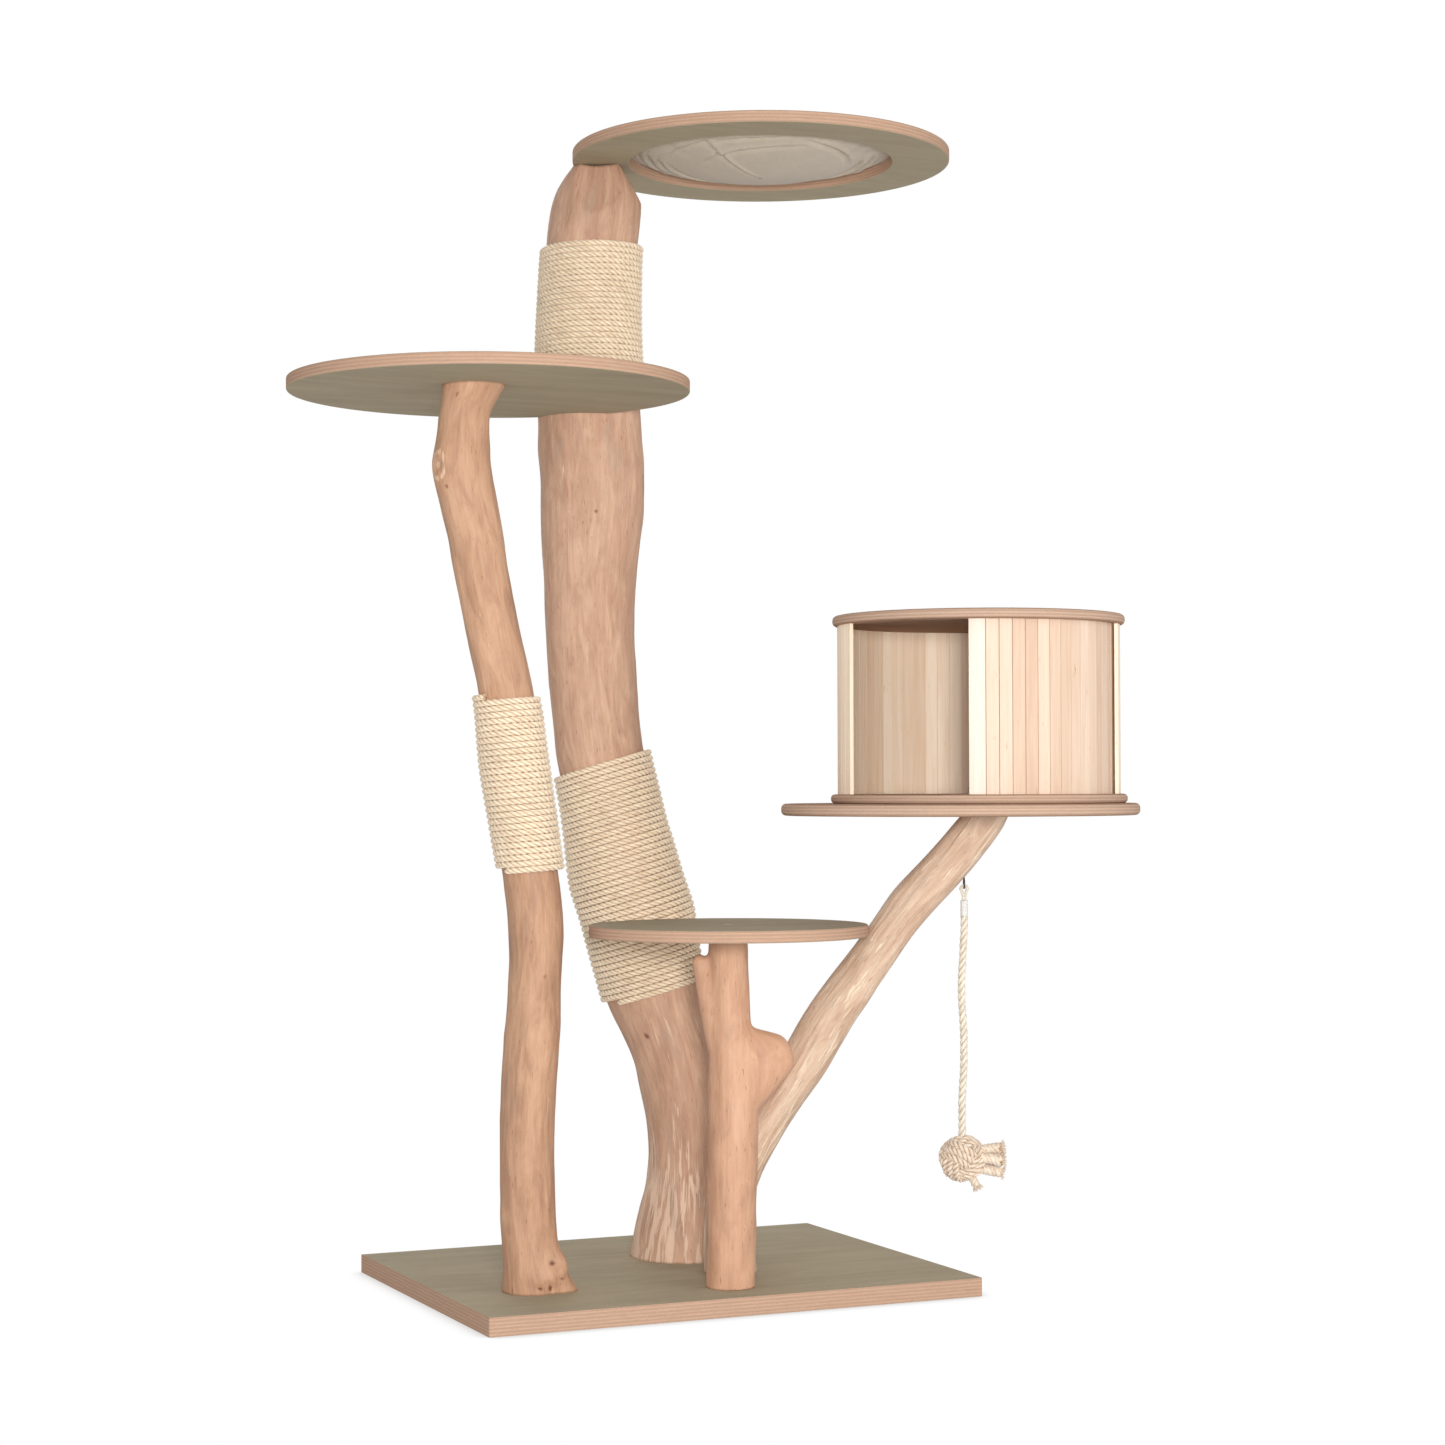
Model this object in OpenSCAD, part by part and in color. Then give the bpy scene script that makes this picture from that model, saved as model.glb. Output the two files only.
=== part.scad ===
// Cat tree: four natural trunks on a plywood base carry a round platform, a step,
// a ring with a cloth hammock and a round house with a sliding slatted door.
// Millimetres, +Z up, origin at the centre of the base's underside.

/* [Base] */
// Length of the base plate along X
base_w = 800; // [760:10:900]
// Depth of the base plate along Y
base_d = 620; // [600:10:700]
// Thickness of the base plate
base_t = 28; // [24:1:32]

/* [Platforms] */
// Thickness of every platform board and of the hammock ring
board_t = 18; // [16:1:20]
// Radius of the big round platform
big_r = 304; // [298:1:310]
// Radius of the low step
step_r = 211; // [208:1:214]
// Radius of the platform under the house
shelf_r = 271; // [250:1:280]

/* [Hammock] */
// Outer radius of the hammock ring
ring_r = 304; // [298:1:310]
// Radius of the hole in the hammock ring
ring_hole_r = 212; // [200:1:220]
// How far the cloth sags below the ring's top face
cloth_sag = 42; // [30:1:48]
// Number of staples that hold the cloth
staple_count = 24; // [12:1:36]

/* [House] */
// Outer radius of the slatted wall
wall_r = 213.5; // [205:0.5:215]
// Clear height between the house's floor and roof
wall_h = 255; // [200:5:255]
// Radius of the floor disc
floor_r = 224; // [222:1:230]
// Thickness of the floor disc
floor_t = 14; // [12:1:16]
// Radius of the roof disc
roof_r = 221; // [220:1:230]
// Thickness of the roof disc
roof_t = 15; // [12:1:18]
// Thickness of a slat
slat_t = 5; // [4:0.5:5]
// Angle that one slat takes up
slat_step = 5.5; // [5:0.5:6]
// Number of slats in the fixed wall
wall_slats = 40; // [36:1:42]
// Number of slats in the door, without its leading slat
door_slats_n = 26; // [20:1:28]

/* [Sisal] */
// Diameter of the sisal rope wound on the trunks
sisal_d = 10; // [8:1:12]

/* [Toy] */
// Diameter of the toy's rope
rope_d = 12; // [8:1:13]
// Radius of the knotted ball
ball_r = 36; // [30:1:38]

/* [Hidden] */

// Faces on turned, drilled and small round surfaces
round_fn = 96;
hole_fn = 24;
small_fn = 32;
// Facets around a trunk and around the sleeves wound on it
trunk_sides = 24;
// Gap between a trunk and what is wound or let into it
fit_gap = 1.2;

// Where the boards sit, in plan
big_xy = [-320, -87];
step_xy = [15, -220];
ring_xy = [180, 12];
shelf_xy = [340, -354];
house_xy = [366, -366];

// Heights
step_top = 574;
big_top = 1397;
ring_top = 1806;
shelf_top = 756;
step_z = step_top - board_t;
big_z = big_top - board_t;
ring_z = ring_top - board_t;
shelf_z = shelf_top - board_t;
floor_top = shelf_top + floor_t;
roof_z = floor_top + wall_h;

// Stations of each trunk from foot to top: height, x, y, radius
main_stations = [
    [base_t, 77, 86, 92], [100, 79, 85, 79], [172, 80, 85, 64], [245, 76, 87, 63],
    [342, 62, 93, 67], [439, 32, 106, 76], [584, 4, 119, 84], [632, -10, 126, 85],
    [729, -28, 134, 76], [875, -54, 146, 72], [1070, -64, 151, 73], [1262, -60, 149, 83],
    [1360, -63, 151, 83], [1505, -65, 152, 77], [1650, -61, 150, 74], [1725, -53, 146, 73],
    [1755, -50, 145, 66], [ring_z, -49, 145, 46]];
thin_stations = [
    [base_t, -266, -125, 46], [60, -267, -125, 43], [130, -272, -124, 42], [284, -274, -127, 40],
    [374, -270, -130, 41], [464, -265, -135, 40], [600, -266, -140, 41], [733, -285, -139, 43],
    [823, -300, -139, 44], [913, -312, -141, 41], [1070, -344, -141, 39], [1160, -361, -142, 41],
    [1205, -372, -140, 42], [1250, -380, -141, 41], [1294, -381, -144, 38], [1345, -380, -149, 37],
    [big_z, -369, -157, 44]];
short_stations = [
    [base_t, 17, -219, 37], [120, 19, -220, 37], [280, 21, -221, 38], [370, 18, -220, 34],
    [430, 17, -219, 32], [step_z, 15, -218, 30]];
lean_stations = [
    [base_t, 71, -99, 40], [100, 68, -99, 37], [172, 76, -106, 35], [265, 117, -132, 35],
    [360, 163, -176, 36], [407, 182, -200, 37], [455, 202, -228, 36], [548, 245, -284, 31],
    [594, 272, -308, 33], [640, 305, -332, 35], [685, 338, -355, 33], [shelf_z, 370, -378, 33]];

// Wound stretches: height of the lower and upper end on the trunk's axis, slope of the
// ends, and plan direction in which they rise
lower_wrap = [448, 824, 0.26, -24];
upper_wrap = [big_top + 0.5, 1660, 0, 0];
thin_wrap = [654, 922, 0.04, -24];

// The house's wall and door, as angles about the house's axis
door_mouth_dir = 246;
wall_start = door_mouth_dir + 72;
door_start = door_mouth_dir - 9;
lead_angle = 7;
door_angle = lead_angle + door_slats_n * slat_step;
// The door turns this far each way, between the ends of its groove
door_close = 60;
door_open = 76;
groove_depth = 5;
backing_t = 0.8;
track_gap = 0.4;
door_r = wall_r - 9;
wall_z = floor_top - groove_depth + track_gap;
slat_h = wall_h + 2 * (groove_depth - track_gap);
slat_gap = 0.5;

// The toy hangs from a screw eye under the leaning trunk. These two directions are its swings:
// across the house's mouth, and in and out of it.
eye_xy = [345, -357];
eye_z = 634;
eye_r = 7;
eye_shank_l = 26;
wire_r = 1.25;
swing_dir = -24;
loop_wire_r = 2.5;
loop_w = 10;
loop_h = 19;
loop_top = eye_z - eye_r + wire_r + loop_wire_r + 0.4;
socket_z = loop_top - loop_h;
socket_r = 4;
socket_gap = 1;
sleeve_top = socket_z - 3;
sleeve_r = 6;
sleeve_end = 585;
ball_c = [341, -355, 219];
rope_route = [
    [345, -357, 585], [345, -357, 565], [344, -356, 545], [343, -356, 525], [342, -355, 505],
    [341, -355, 485], [341, -355, 465], [342, -355, 445], [343, -356, 425], [344, -356, 405],
    [344, -356, 385], [344, -356, 365], [343, -356, 345], [342, -355, 325], [341, -355, 305],
    [341, -355, 285], [341, -355, 265], [341, -355, 252]];

// Screws: [x, y] of each one
main_foot_screws = [[107, 69], [47, 69], [77, 121]];
thin_foot_screws = [[-251, -125], [-281, -125]];
short_foot_screws = [[17, -206], [17, -232]];
lean_foot_screws = [[71, -86], [71, -112]];
big_top_screws = [[-369, -172], [-355, -148], [-383, -148]];
step_top_screws = [[14, -221]];
ring_top_screws = [[-62, 158], [-36, 132]];
shelf_top_screws = [[348, -364], [372, -382]];
floor_screw_r = 150;
base_points = concat(main_foot_screws, thin_foot_screws, short_foot_screws, lean_foot_screws);
foot_screw_l = 90;
top_screw_l = 80;
shelf_screw_l = 50;
floor_screw_l = 28;
screw_r = 3;
screw_tip_l = 6;
head_r = 6;
head_t = 4;
plug_r = 7;
plug_t = 4;
seat_gap = 0.05;
// How far the base's screw heads sit inside its underside
base_sink = 1;

// Rounding of the edges
base_edge = 3;
board_edge = 2;
shelf_edge = 7;
house_edge = 6;

// Burl at the thin trunk's foot, and the short trunk's two stubs, each the hull of some
// balls: x, y, z, radius
burl_xy = [-226, -140];
burl_r = 24;
left_stub = [[-25, -200, 519, 12], [-9, -207, 475, 18], [6, -214, 392, 24]];
right_stub = [[24, -222, 302, 33], [78, -246, 384, 26], [85, -249, 369, 25], [42, -230, 397, 23]];

// The hammock's cloth, its hem and the staples through both
cloth_t = 1.2;
cloth_lift = 0.1;
cloth_edge_r = ring_hole_r + 26;
hem_w = 14;
hem_t = 1.4;
staple_l = 10;
staple_w = 1.2;
staple_t = 0.7;

// The ball's frayed tassel, along the swing direction, and its frayed tail
tassel_start = 25;
tassel_l = 47;
tassel_r = [12, 26];
tassel_drop = 4;
tail_tilt = 153;
tail_start = 30;
tail_l = 26;
tail_r = [6, 10];

// Value of a smooth curve through four neighbouring values at t between the middle two
function blend4(a, b, c, d, t) =
    let (m0 = (c - a) / 2, m1 = (d - b) / 2)
    b * (2*t*t*t - 3*t*t + 1) + m0 * (t*t*t - 2*t*t + t)
    + c * (3*t*t - 2*t*t*t) + m1 * (t*t*t - t*t);

// Index of the station below height z
function station_at(s, z) = max([for (i = [0 : len(s) - 2]) if (i == 0 || s[i][0] <= z) i]);

// [x, y, radius] of a trunk at height z
function trunk_at(s, z) =
    let (i = station_at(s, z), n = len(s) - 1, t = (z - s[i][0]) / (s[i + 1][0] - s[i][0]),
         a = s[max(i - 1, 0)], b = s[i], c = s[i + 1], d = s[min(i + 2, n)])
    [for (k = [1 : 3]) blend4(a[k], b[k], c[k], d[k], t)];

// Slope of a trunk's axis at height z, as sideways travel per unit of height
function lean_at(s, z) =
    let (z0 = max(z - 8, s[0][0]), z1 = min(z + 8, s[len(s) - 1][0]),
         p = trunk_at(s, z0), q = trunk_at(s, z1))
    [q[0] - p[0], q[1] - p[1]] / (z1 - z0);

// Point on a trunk's skin at height z and angle a, grown outwards by grow. The trunk leans,
// so its level slice is stretched along the lean.
function skin(s, z, a, grow) =
    let (p = trunk_at(s, z), m = lean_at(s, z), steep = norm(m),
         u = [cos(a), sin(a)],
         n = steep < 0.001 ? [1, 0] : m / steep,
         lobes = 1 + 0.015 * cos(2 * a + z * 0.3) + 0.01 * cos(3 * a - z * 0.2),
         r = p[2] * lobes + grow)
    [p[0], p[1]] + r * (u + (sqrt(1 + steep * steep) - 1) * (u * n) * n);

// Ring of skin points whose plane rises by slope along the plan direction dir
function skin_ring(s, z, grow, slope, dir) =
    [for (k = [0 : trunk_sides - 1])
        let (a = k * 360 / trunk_sides, r = trunk_at(s, z)[2] + grow,
             h = z + slope * r * cos(a - dir), q = skin(s, h, a, grow))
        [q[0], q[1], h]];

function level_ring(s, z) =
    [for (k = [0 : trunk_sides - 1])
        let (q = skin(s, z, k * 360 / trunk_sides, 0)) [q[0], q[1], z]];

// Quads that join ring i to ring j, each with n points
function band(i, j, n) = [for (k = [0 : n - 1]) [i*n + k, i*n + (k + 1) % n, j*n + (k + 1) % n, j*n + k]];

// Solid through rings of n points, with its ends closed
module loft(rings, n) {
    last = len(rings) - 1;
    polyhedron(
        points = [for (r = rings) each r],
        faces = concat(
            [[for (k = [0 : n - 1]) k]],
            [for (i = [0 : last - 1]) each [for (f = band(i, i + 1, n)) [f[3], f[2], f[1], f[0]]]],
            [[for (k = [n - 1 : -1 : 0]) last*n + k]]));
}

// Solid through rings of n points that close on themselves
module closed_loft(rings, n) {
    m = len(rings);
    polyhedron(
        points = [for (r = rings) each r],
        faces = [for (i = [0 : m - 1]) each [for (f = band(i, (i + 1) % m, n)) [f[3], f[2], f[1], f[0]]]]);
}

// A whole trunk with level ends
module trunk(s, steps) {
    foot = s[0][0];
    top = s[len(s) - 1][0];
    loft([for (i = [0 : steps]) level_ring(s, foot + (top - foot) * i / steps)], trunk_sides);
}

// Sisal rope wound on a trunk, as one sleeve
module sleeve(s, wrap, steps) {
    heights = [for (i = [0 : steps]) wrap[0] + (wrap[1] - wrap[0]) * i / steps];
    outer = [for (z = heights) skin_ring(s, z, fit_gap + sisal_d, wrap[2], wrap[3])];
    inner = [for (i = [steps : -1 : 0]) skin_ring(s, heights[i], fit_gap, wrap[2], wrap[3])];
    closed_loft(concat(outer, inner), trunk_sides);
}

// Round tube along a list of points
module tube(path, r, sides, closed = false) {
    n = len(path);
    rings = [for (i = [0 : n - 1])
        let (before = closed ? path[(i + n - 1) % n] : path[max(i - 1, 0)],
             after = closed ? path[(i + 1) % n] : path[min(i + 1, n - 1)],
             along = (after - before) / norm(after - before),
             side = [-sin(swing_dir), cos(swing_dir), 0],
             u = cross(side, along) / norm(cross(side, along)),
             v = cross(along, u))
        [for (k = [0 : sides - 1]) let (a = k * 360 / sides) path[i] + r * (cos(a) * u + sin(a) * v)]];
    if (closed) closed_loft(rings, sides);
    else loft(rings, sides);
}

// Points along an arc in a profile
function arc(x, y, r, from, to, n) =
    [for (i = [0 : n]) let (a = from + (to - from) * i / n) [x + r * cos(a), y + r * sin(a)]];

// Flat disc with rounded edges, standing on z = 0
module disc(r, t, edge) {
    rotate_extrude($fn = round_fn)
        polygon(concat([[0, 0]], arc(r - edge, edge, edge, -90, 0, 4),
            arc(r - edge, t - edge, edge, 0, 90, 4), [[0, t]]));
}

// Part of a flat ring between two radii, from one angle on
module ring_part(r0, r1, h, from, angle) {
    rotate([0, 0, from])
        rotate_extrude(angle = angle, $fn = round_fn)
            translate([r0, 0]) square([r1 - r0, h]);
}

module hole(x, y, z, r, h) {
    translate([x, y, z]) cylinder(r = r, h = h, $fn = hole_fn);
}

// Countersunk wood screw with its head's face at z = 0, pointing down
module screw(length) {
    translate([0, 0, -head_t]) cylinder(r1 = screw_r, r2 = head_r, h = head_t, $fn = hole_fn);
    translate([0, 0, screw_tip_l - length])
        cylinder(r = screw_r, h = length - screw_tip_l - head_t / 2, $fn = hole_fn);
    translate([0, 0, -length]) cylinder(r1 = 0.5, r2 = screw_r, h = screw_tip_l + 0.01, $fn = hole_fn);
}

// Clearance for a screw driven down from z: its shank, and its head with a plug above
module screw_seat(x, y, z, length, sink) {
    translate([x, y, z - sink]) {
        translate([0, 0, -length - 0.5]) cylinder(r = screw_r + seat_gap, h = length + 0.5, $fn = hole_fn);
        translate([0, 0, -head_t - 0.02])
            cylinder(r1 = screw_r + seat_gap, r2 = head_r + seat_gap, h = head_t + 0.03, $fn = hole_fn);
        cylinder(r = plug_r, h = sink + 1, $fn = hole_fn);
    }
}

// The same, driven up from z
module screw_seat_up(x, y, z, length) {
    translate([x, y, z]) rotate([180, 0, 0]) screw_seat(0, 0, 0, length, 0);
}

module base_plate() {
    edge = base_edge;
    color([0.62, 0.56, 0.47])
        difference() {
            linear_extrude(base_t)
                polygon(concat(
                    arc(base_w/2 - edge, base_d/2 - edge, edge, 0, 90, 4),
                    arc(edge - base_w/2, base_d/2 - edge, edge, 90, 180, 4),
                    arc(edge - base_w/2, edge - base_d/2, edge, 180, 270, 4),
                    arc(base_w/2 - edge, edge - base_d/2, edge, 270, 360, 4)));
            for (p = base_points) {
                screw_seat_up(p[0], p[1], base_sink, foot_screw_l);
                hole(p[0], p[1], -1, head_r + seat_gap, base_sink + 1.01);
            }
        }
}

module base_screws() {
    color("silver")
        for (p = base_points) translate([p[0], p[1], base_sink]) rotate([180, 0, 0]) screw(foot_screw_l);
}

module foot_holes(points) {
    for (p = points) hole(p[0], p[1], 0, screw_r + seat_gap, foot_screw_l + 2);
}

module top_holes(points, z, length) {
    for (p = points) hole(p[0], p[1], z - length - 1, screw_r + seat_gap, length + 2);
}

// Slot that a round board's rim is let into
module rim_slot(xy, z, r) {
    translate([xy[0], xy[1], z - 0.1]) cylinder(r = r + 0.3, h = board_t + 0.2, $fn = round_fn);
}

module main_trunk() {
    color([0.78, 0.62, 0.48])
        difference() {
            trunk(main_stations, 60);
            rim_slot(big_xy, big_z, big_r);
            foot_holes(main_foot_screws);
            top_holes(ring_top_screws, ring_top - plug_t, top_screw_l);
        }
}

module thin_trunk() {
    color([0.82, 0.62, 0.44])
        difference() {
            union() {
                trunk(thin_stations, 36);
                translate([burl_xy[0], burl_xy[1], base_t]) intersection() {
                    sphere(r = burl_r, $fn = small_fn);
                    cylinder(r = burl_r + 1, h = burl_r + 1, $fn = small_fn);
                }
            }
            foot_holes(thin_foot_screws);
            top_holes(big_top_screws, big_top - plug_t, top_screw_l);
        }
}

// Stub of a cut branch, from inside the trunk to its rounded tip
module stub(balls) {
    hull() for (b = balls) translate([b[0], b[1], b[2]]) sphere(r = b[3], $fn = 24);
}

module short_trunk() {
    color([0.80, 0.62, 0.48])
        difference() {
            union() {
                trunk(short_stations, 14);
                stub(left_stub);
                stub(right_stub);
            }
            foot_holes(short_foot_screws);
            top_holes(step_top_screws, step_top - plug_t, top_screw_l);
        }
}

module leaning_trunk() {
    color([0.84, 0.70, 0.55])
        difference() {
            trunk(lean_stations, 30);
            rim_slot(step_xy, step_z, step_r);
            foot_holes(lean_foot_screws);
            top_holes(shelf_top_screws, shelf_top, shelf_screw_l);
            hole(eye_xy[0], eye_xy[1], eye_z, wire_r + seat_gap, eye_r + eye_shank_l + 2);
            translate([eye_xy[0], eye_xy[1], eye_z]) sphere(r = eye_r + wire_r + 0.5, $fn = small_fn);
        }
}

module main_lower_sisal() { color([0.90, 0.80, 0.62]) sleeve(main_stations, lower_wrap, 16); }
module main_upper_sisal() { color([0.90, 0.80, 0.62]) sleeve(main_stations, upper_wrap, 11); }
module thin_trunk_sisal() { color([0.90, 0.80, 0.62]) sleeve(thin_stations, thin_wrap, 12); }

// Screws driven down through a board's top and hidden by plugs
module sunk_screws(points, z, length) {
    color("silver")
        for (p = points) translate([p[0], p[1], z - plug_t]) screw(length);
}

// Round board with its screws' seats
module board(xy, z, r, points) {
    color([0.66, 0.60, 0.50])
        difference() {
            translate([xy[0], xy[1], z]) disc(r, board_t, board_edge);
            for (p = points) screw_seat(p[0], p[1], z + board_t, top_screw_l, plug_t);
        }
}

module big_platform() { board(big_xy, big_z, big_r, big_top_screws); }
module big_platform_screws() { sunk_screws(big_top_screws, big_top, top_screw_l); }
module step_platform() { board(step_xy, step_z, step_r, step_top_screws); }
module step_platform_screws() { sunk_screws(step_top_screws, step_top, top_screw_l); }
module hammock_ring_screws() { sunk_screws(ring_top_screws, ring_top, top_screw_l); }

module wood_plugs() {
    color([0.85, 0.75, 0.60])
        for (row = [[big_top_screws, big_top], [step_top_screws, step_top], [ring_top_screws, ring_top]])
            for (p = row[0]) hole(p[0], p[1], row[1] - plug_t, plug_r - seat_gap, plug_t);
}

module hammock_ring() {
    difference() {
        board(ring_xy, ring_z, ring_r, ring_top_screws);
        edge_r = ring_hole_r + board_edge;
        translate([ring_xy[0], ring_xy[1], ring_z])
            rotate_extrude($fn = round_fn)
                polygon(concat([[0, -1], [edge_r, -1]],
                    arc(edge_r, board_edge, board_edge, 270, 180, 4),
                    arc(edge_r, board_t - board_edge, board_edge, 180, 90, 4),
                    [[edge_r, board_t + 1], [0, board_t + 1]]));
    }
}

// Half profile of the sagging cloth: a bowl inside the hole and a flat rim on the ring
module hammock_cloth() {
    bowl_r = ring_hole_r - 3;
    steps = 14;
    under = [for (i = [0 : steps]) [bowl_r * i / steps, cloth_sag * (pow(i / steps, 2) - 1)]];
    over = [for (i = [steps : -1 : 0]) [under[i][0], under[i][1] + cloth_t]];
    color([0.80, 0.77, 0.72])
        translate([ring_xy[0], ring_xy[1], ring_top + cloth_lift])
            rotate_extrude($fn = round_fn)
                polygon(concat(under, [[cloth_edge_r, 0], [cloth_edge_r, cloth_t]], over));
}

module hammock_hem() {
    color([0.76, 0.73, 0.68])
        translate([ring_xy[0], ring_xy[1], ring_top + 2 * cloth_lift + cloth_t])
            rotate_extrude($fn = round_fn)
                translate([cloth_edge_r - hem_w, 0]) square([hem_w, hem_t]);
}

// Staples pressed over the hem, each one a flat crown
module hammock_staples() {
    color("silver")
        translate([ring_xy[0], ring_xy[1], ring_top + 3 * cloth_lift + cloth_t + hem_t])
            for (i = [0 : staple_count - 1])
                rotate([0, 0, i * 360 / staple_count])
                    translate([cloth_edge_r - (hem_w + staple_w) / 2, -staple_l / 2, 0])
                        cube([staple_w, staple_l, staple_t]);
}

module floor_screw_spots() {
    for (a = [45 : 90 : 315])
        translate([house_xy[0] + floor_screw_r * cos(a), house_xy[1] + floor_screw_r * sin(a), shelf_z])
            children();
}

module house_platform() {
    color([0.68, 0.58, 0.48])
        difference() {
            translate([shelf_xy[0], shelf_xy[1], shelf_z]) disc(shelf_r, board_t, shelf_edge);
            for (p = shelf_top_screws) screw_seat(p[0], p[1], shelf_top, shelf_screw_l, 0);
            floor_screw_spots() rotate([180, 0, 0]) screw_seat(0, 0, 0, floor_screw_l, 0);
        }
}

module house_platform_screws() {
    color("silver") for (p = shelf_top_screws) translate([p[0], p[1], shelf_top]) screw(shelf_screw_l);
}

module house_floor_screws() {
    color("silver") floor_screw_spots() rotate([180, 0, 0]) screw(floor_screw_l);
}

// The two grooves that hold the wall and guide the door, cut upwards from z = 0
module tracks() {
    ring_part(wall_r - slat_t - backing_t - track_gap, wall_r + 0.3 + track_gap, groove_depth + 1,
        wall_start - 0.5, wall_slats * slat_step + 1);
    ring_part(door_r - slat_t - backing_t - track_gap, door_r + 0.3 + track_gap, groove_depth + 1,
        door_start - door_close - 0.5, door_angle + door_close + door_open + 1);
}

module house_floor() {
    color([0.70, 0.58, 0.48])
        difference() {
            translate([house_xy[0], house_xy[1], shelf_top]) disc(floor_r, floor_t, house_edge);
            translate([house_xy[0], house_xy[1], floor_top - groove_depth]) tracks();
            floor_screw_spots() cylinder(r = screw_r + seat_gap, h = floor_screw_l + 0.5, $fn = hole_fn);
        }
}

module house_roof() {
    color([0.66, 0.52, 0.42])
        difference() {
            translate([house_xy[0], house_xy[1], roof_z]) disc(roof_r, roof_t, house_edge);
            translate([house_xy[0], house_xy[1], roof_z - 1]) tracks();
        }
}

// Upright slat centred on angle a, taking up step degrees, with its face at radius r
module slat(r, a, step) {
    w = 2 * (r - slat_t) * tan(step / 2) - slat_gap;
    rotate([0, 0, a]) translate([r - slat_t, -w/2, 0]) cube([slat_t, w, slat_h]);
}

module in_house() { translate([house_xy[0], house_xy[1], wall_z]) children(); }

module house_wall_slats() {
    color([0.93, 0.84, 0.70])
        in_house()
            for (i = [0 : wall_slats - 1]) slat(wall_r, wall_start + (i + 0.5) * slat_step, slat_step);
}

// Cloth glued behind slats whose faces are at radius r
module backing(r, from, angle) {
    in_house() ring_part(r - slat_t - 0.1 - backing_t / 2, r - slat_t - 0.1, slat_h, from + 0.2, angle - 0.4);
}

module house_wall_backing() {
    color([0.85, 0.78, 0.66]) backing(wall_r, wall_start, wall_slats * slat_step);
}

module door_slats() {
    color([0.94, 0.80, 0.66])
        in_house()
            for (i = [0 : door_slats_n - 1])
                slat(door_r, door_start + lead_angle + (i + 0.5) * slat_step, slat_step);
}

module door_backing() {
    color([0.85, 0.76, 0.64]) backing(door_r, door_start, door_angle);
}

module door_lead_slat() {
    color([0.96, 0.90, 0.80]) in_house() slat(door_r, door_start + lead_angle / 2, lead_angle);
}

module at_eye(z) { translate([eye_xy[0], eye_xy[1], z]) rotate([0, 0, swing_dir]) children(); }

module screw_eye() {
    color([0.25, 0.24, 0.24])
        at_eye(eye_z) {
            rotate([90, 0, 90]) rotate_extrude($fn = 48) translate([eye_r, 0]) circle(r = wire_r, $fn = 16);
            translate([0, 0, eye_r]) cylinder(r = wire_r, h = eye_shank_l, $fn = 16);
        }
}

// Points of a teardrop in its own plane: a half round of radius r at the top, h above its tip
function teardrop(r, h, n) = concat(
    [for (i = [0 : n]) let (a = 180 * i / n) [r * cos(a), h - r + r * sin(a)]],
    [for (i = [1 : n - 1]) let (t = i / n) [-r * (1 - t), (h - r) * (1 - t)]],
    [[0, 0]],
    [for (i = [1 : n - 1]) let (t = i / n) [r * t, (h - r) * t]]);

module toy_loop() {
    tip = [eye_xy[0], eye_xy[1], socket_z];
    path = [for (p = teardrop(loop_w / 2, loop_h, 6))
        tip + [p[0] * cos(swing_dir), p[0] * sin(swing_dir), p[1]]];
    color([0.88, 0.83, 0.74])
        union() {
            tube(path, loop_wire_r, 8, closed = true);
            at_eye(socket_z) sphere(r = socket_r, $fn = 24);
        }
}

module toy_sleeve() {
    color([0.95, 0.94, 0.92])
        difference() {
            at_eye(sleeve_end) cylinder(r = sleeve_r, h = sleeve_top - sleeve_end, $fn = small_fn);
            at_eye(socket_z) sphere(r = socket_r + socket_gap, $fn = small_fn);
        }
}

module toy_rope() { color([0.92, 0.88, 0.80]) tube(rope_route, rope_d / 2, 12); }
module toy_knot() { color([0.92, 0.86, 0.74]) translate(ball_c) sphere(r = ball_r, $fn = 48); }

module toy_tassel() {
    color([0.92, 0.86, 0.74])
        translate(ball_c) rotate([0, 0, swing_dir])
            difference() {
                translate([tassel_start, 0, -tassel_drop]) rotate([0, 90, 0])
                    cylinder(r1 = tassel_r[0], r2 = tassel_r[1], h = tassel_l, $fn = small_fn);
                sphere(r = ball_r + 0.1, $fn = 48);
            }
}

module toy_tail() {
    color([0.80, 0.72, 0.60])
        translate(ball_c) rotate([0, 0, swing_dir])
            difference() {
                rotate([0, tail_tilt, 0]) translate([0, 0, tail_start])
                    cylinder(r1 = tail_r[0], r2 = tail_r[1], h = tail_l, $fn = small_fn);
                sphere(r = ball_r + 0.1, $fn = 48);
            }
}

base_plate();
base_screws();
main_trunk();
main_lower_sisal();
main_upper_sisal();
thin_trunk();
thin_trunk_sisal();
short_trunk();
leaning_trunk();
big_platform();
big_platform_screws();
step_platform();
step_platform_screws();
wood_plugs();
hammock_ring();
hammock_ring_screws();
hammock_cloth();
hammock_hem();
hammock_staples();
house_platform();
house_platform_screws();
house_floor();
house_floor_screws();
house_wall_slats();
house_wall_backing();
house_roof();
door_slats();
door_backing();
door_lead_slat();
screw_eye();
toy_loop();
toy_sleeve();
toy_rope();
toy_knot();
toy_tassel();
toy_tail();
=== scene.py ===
"""Looks for the cat tree: natural trunks, wound sisal, plywood boards, a slatted house and a rope toy."""
import math

import bpy
import numpy as np
from mathutils import Matrix, Vector
from mathutils.bvhtree import BVHTree


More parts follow.
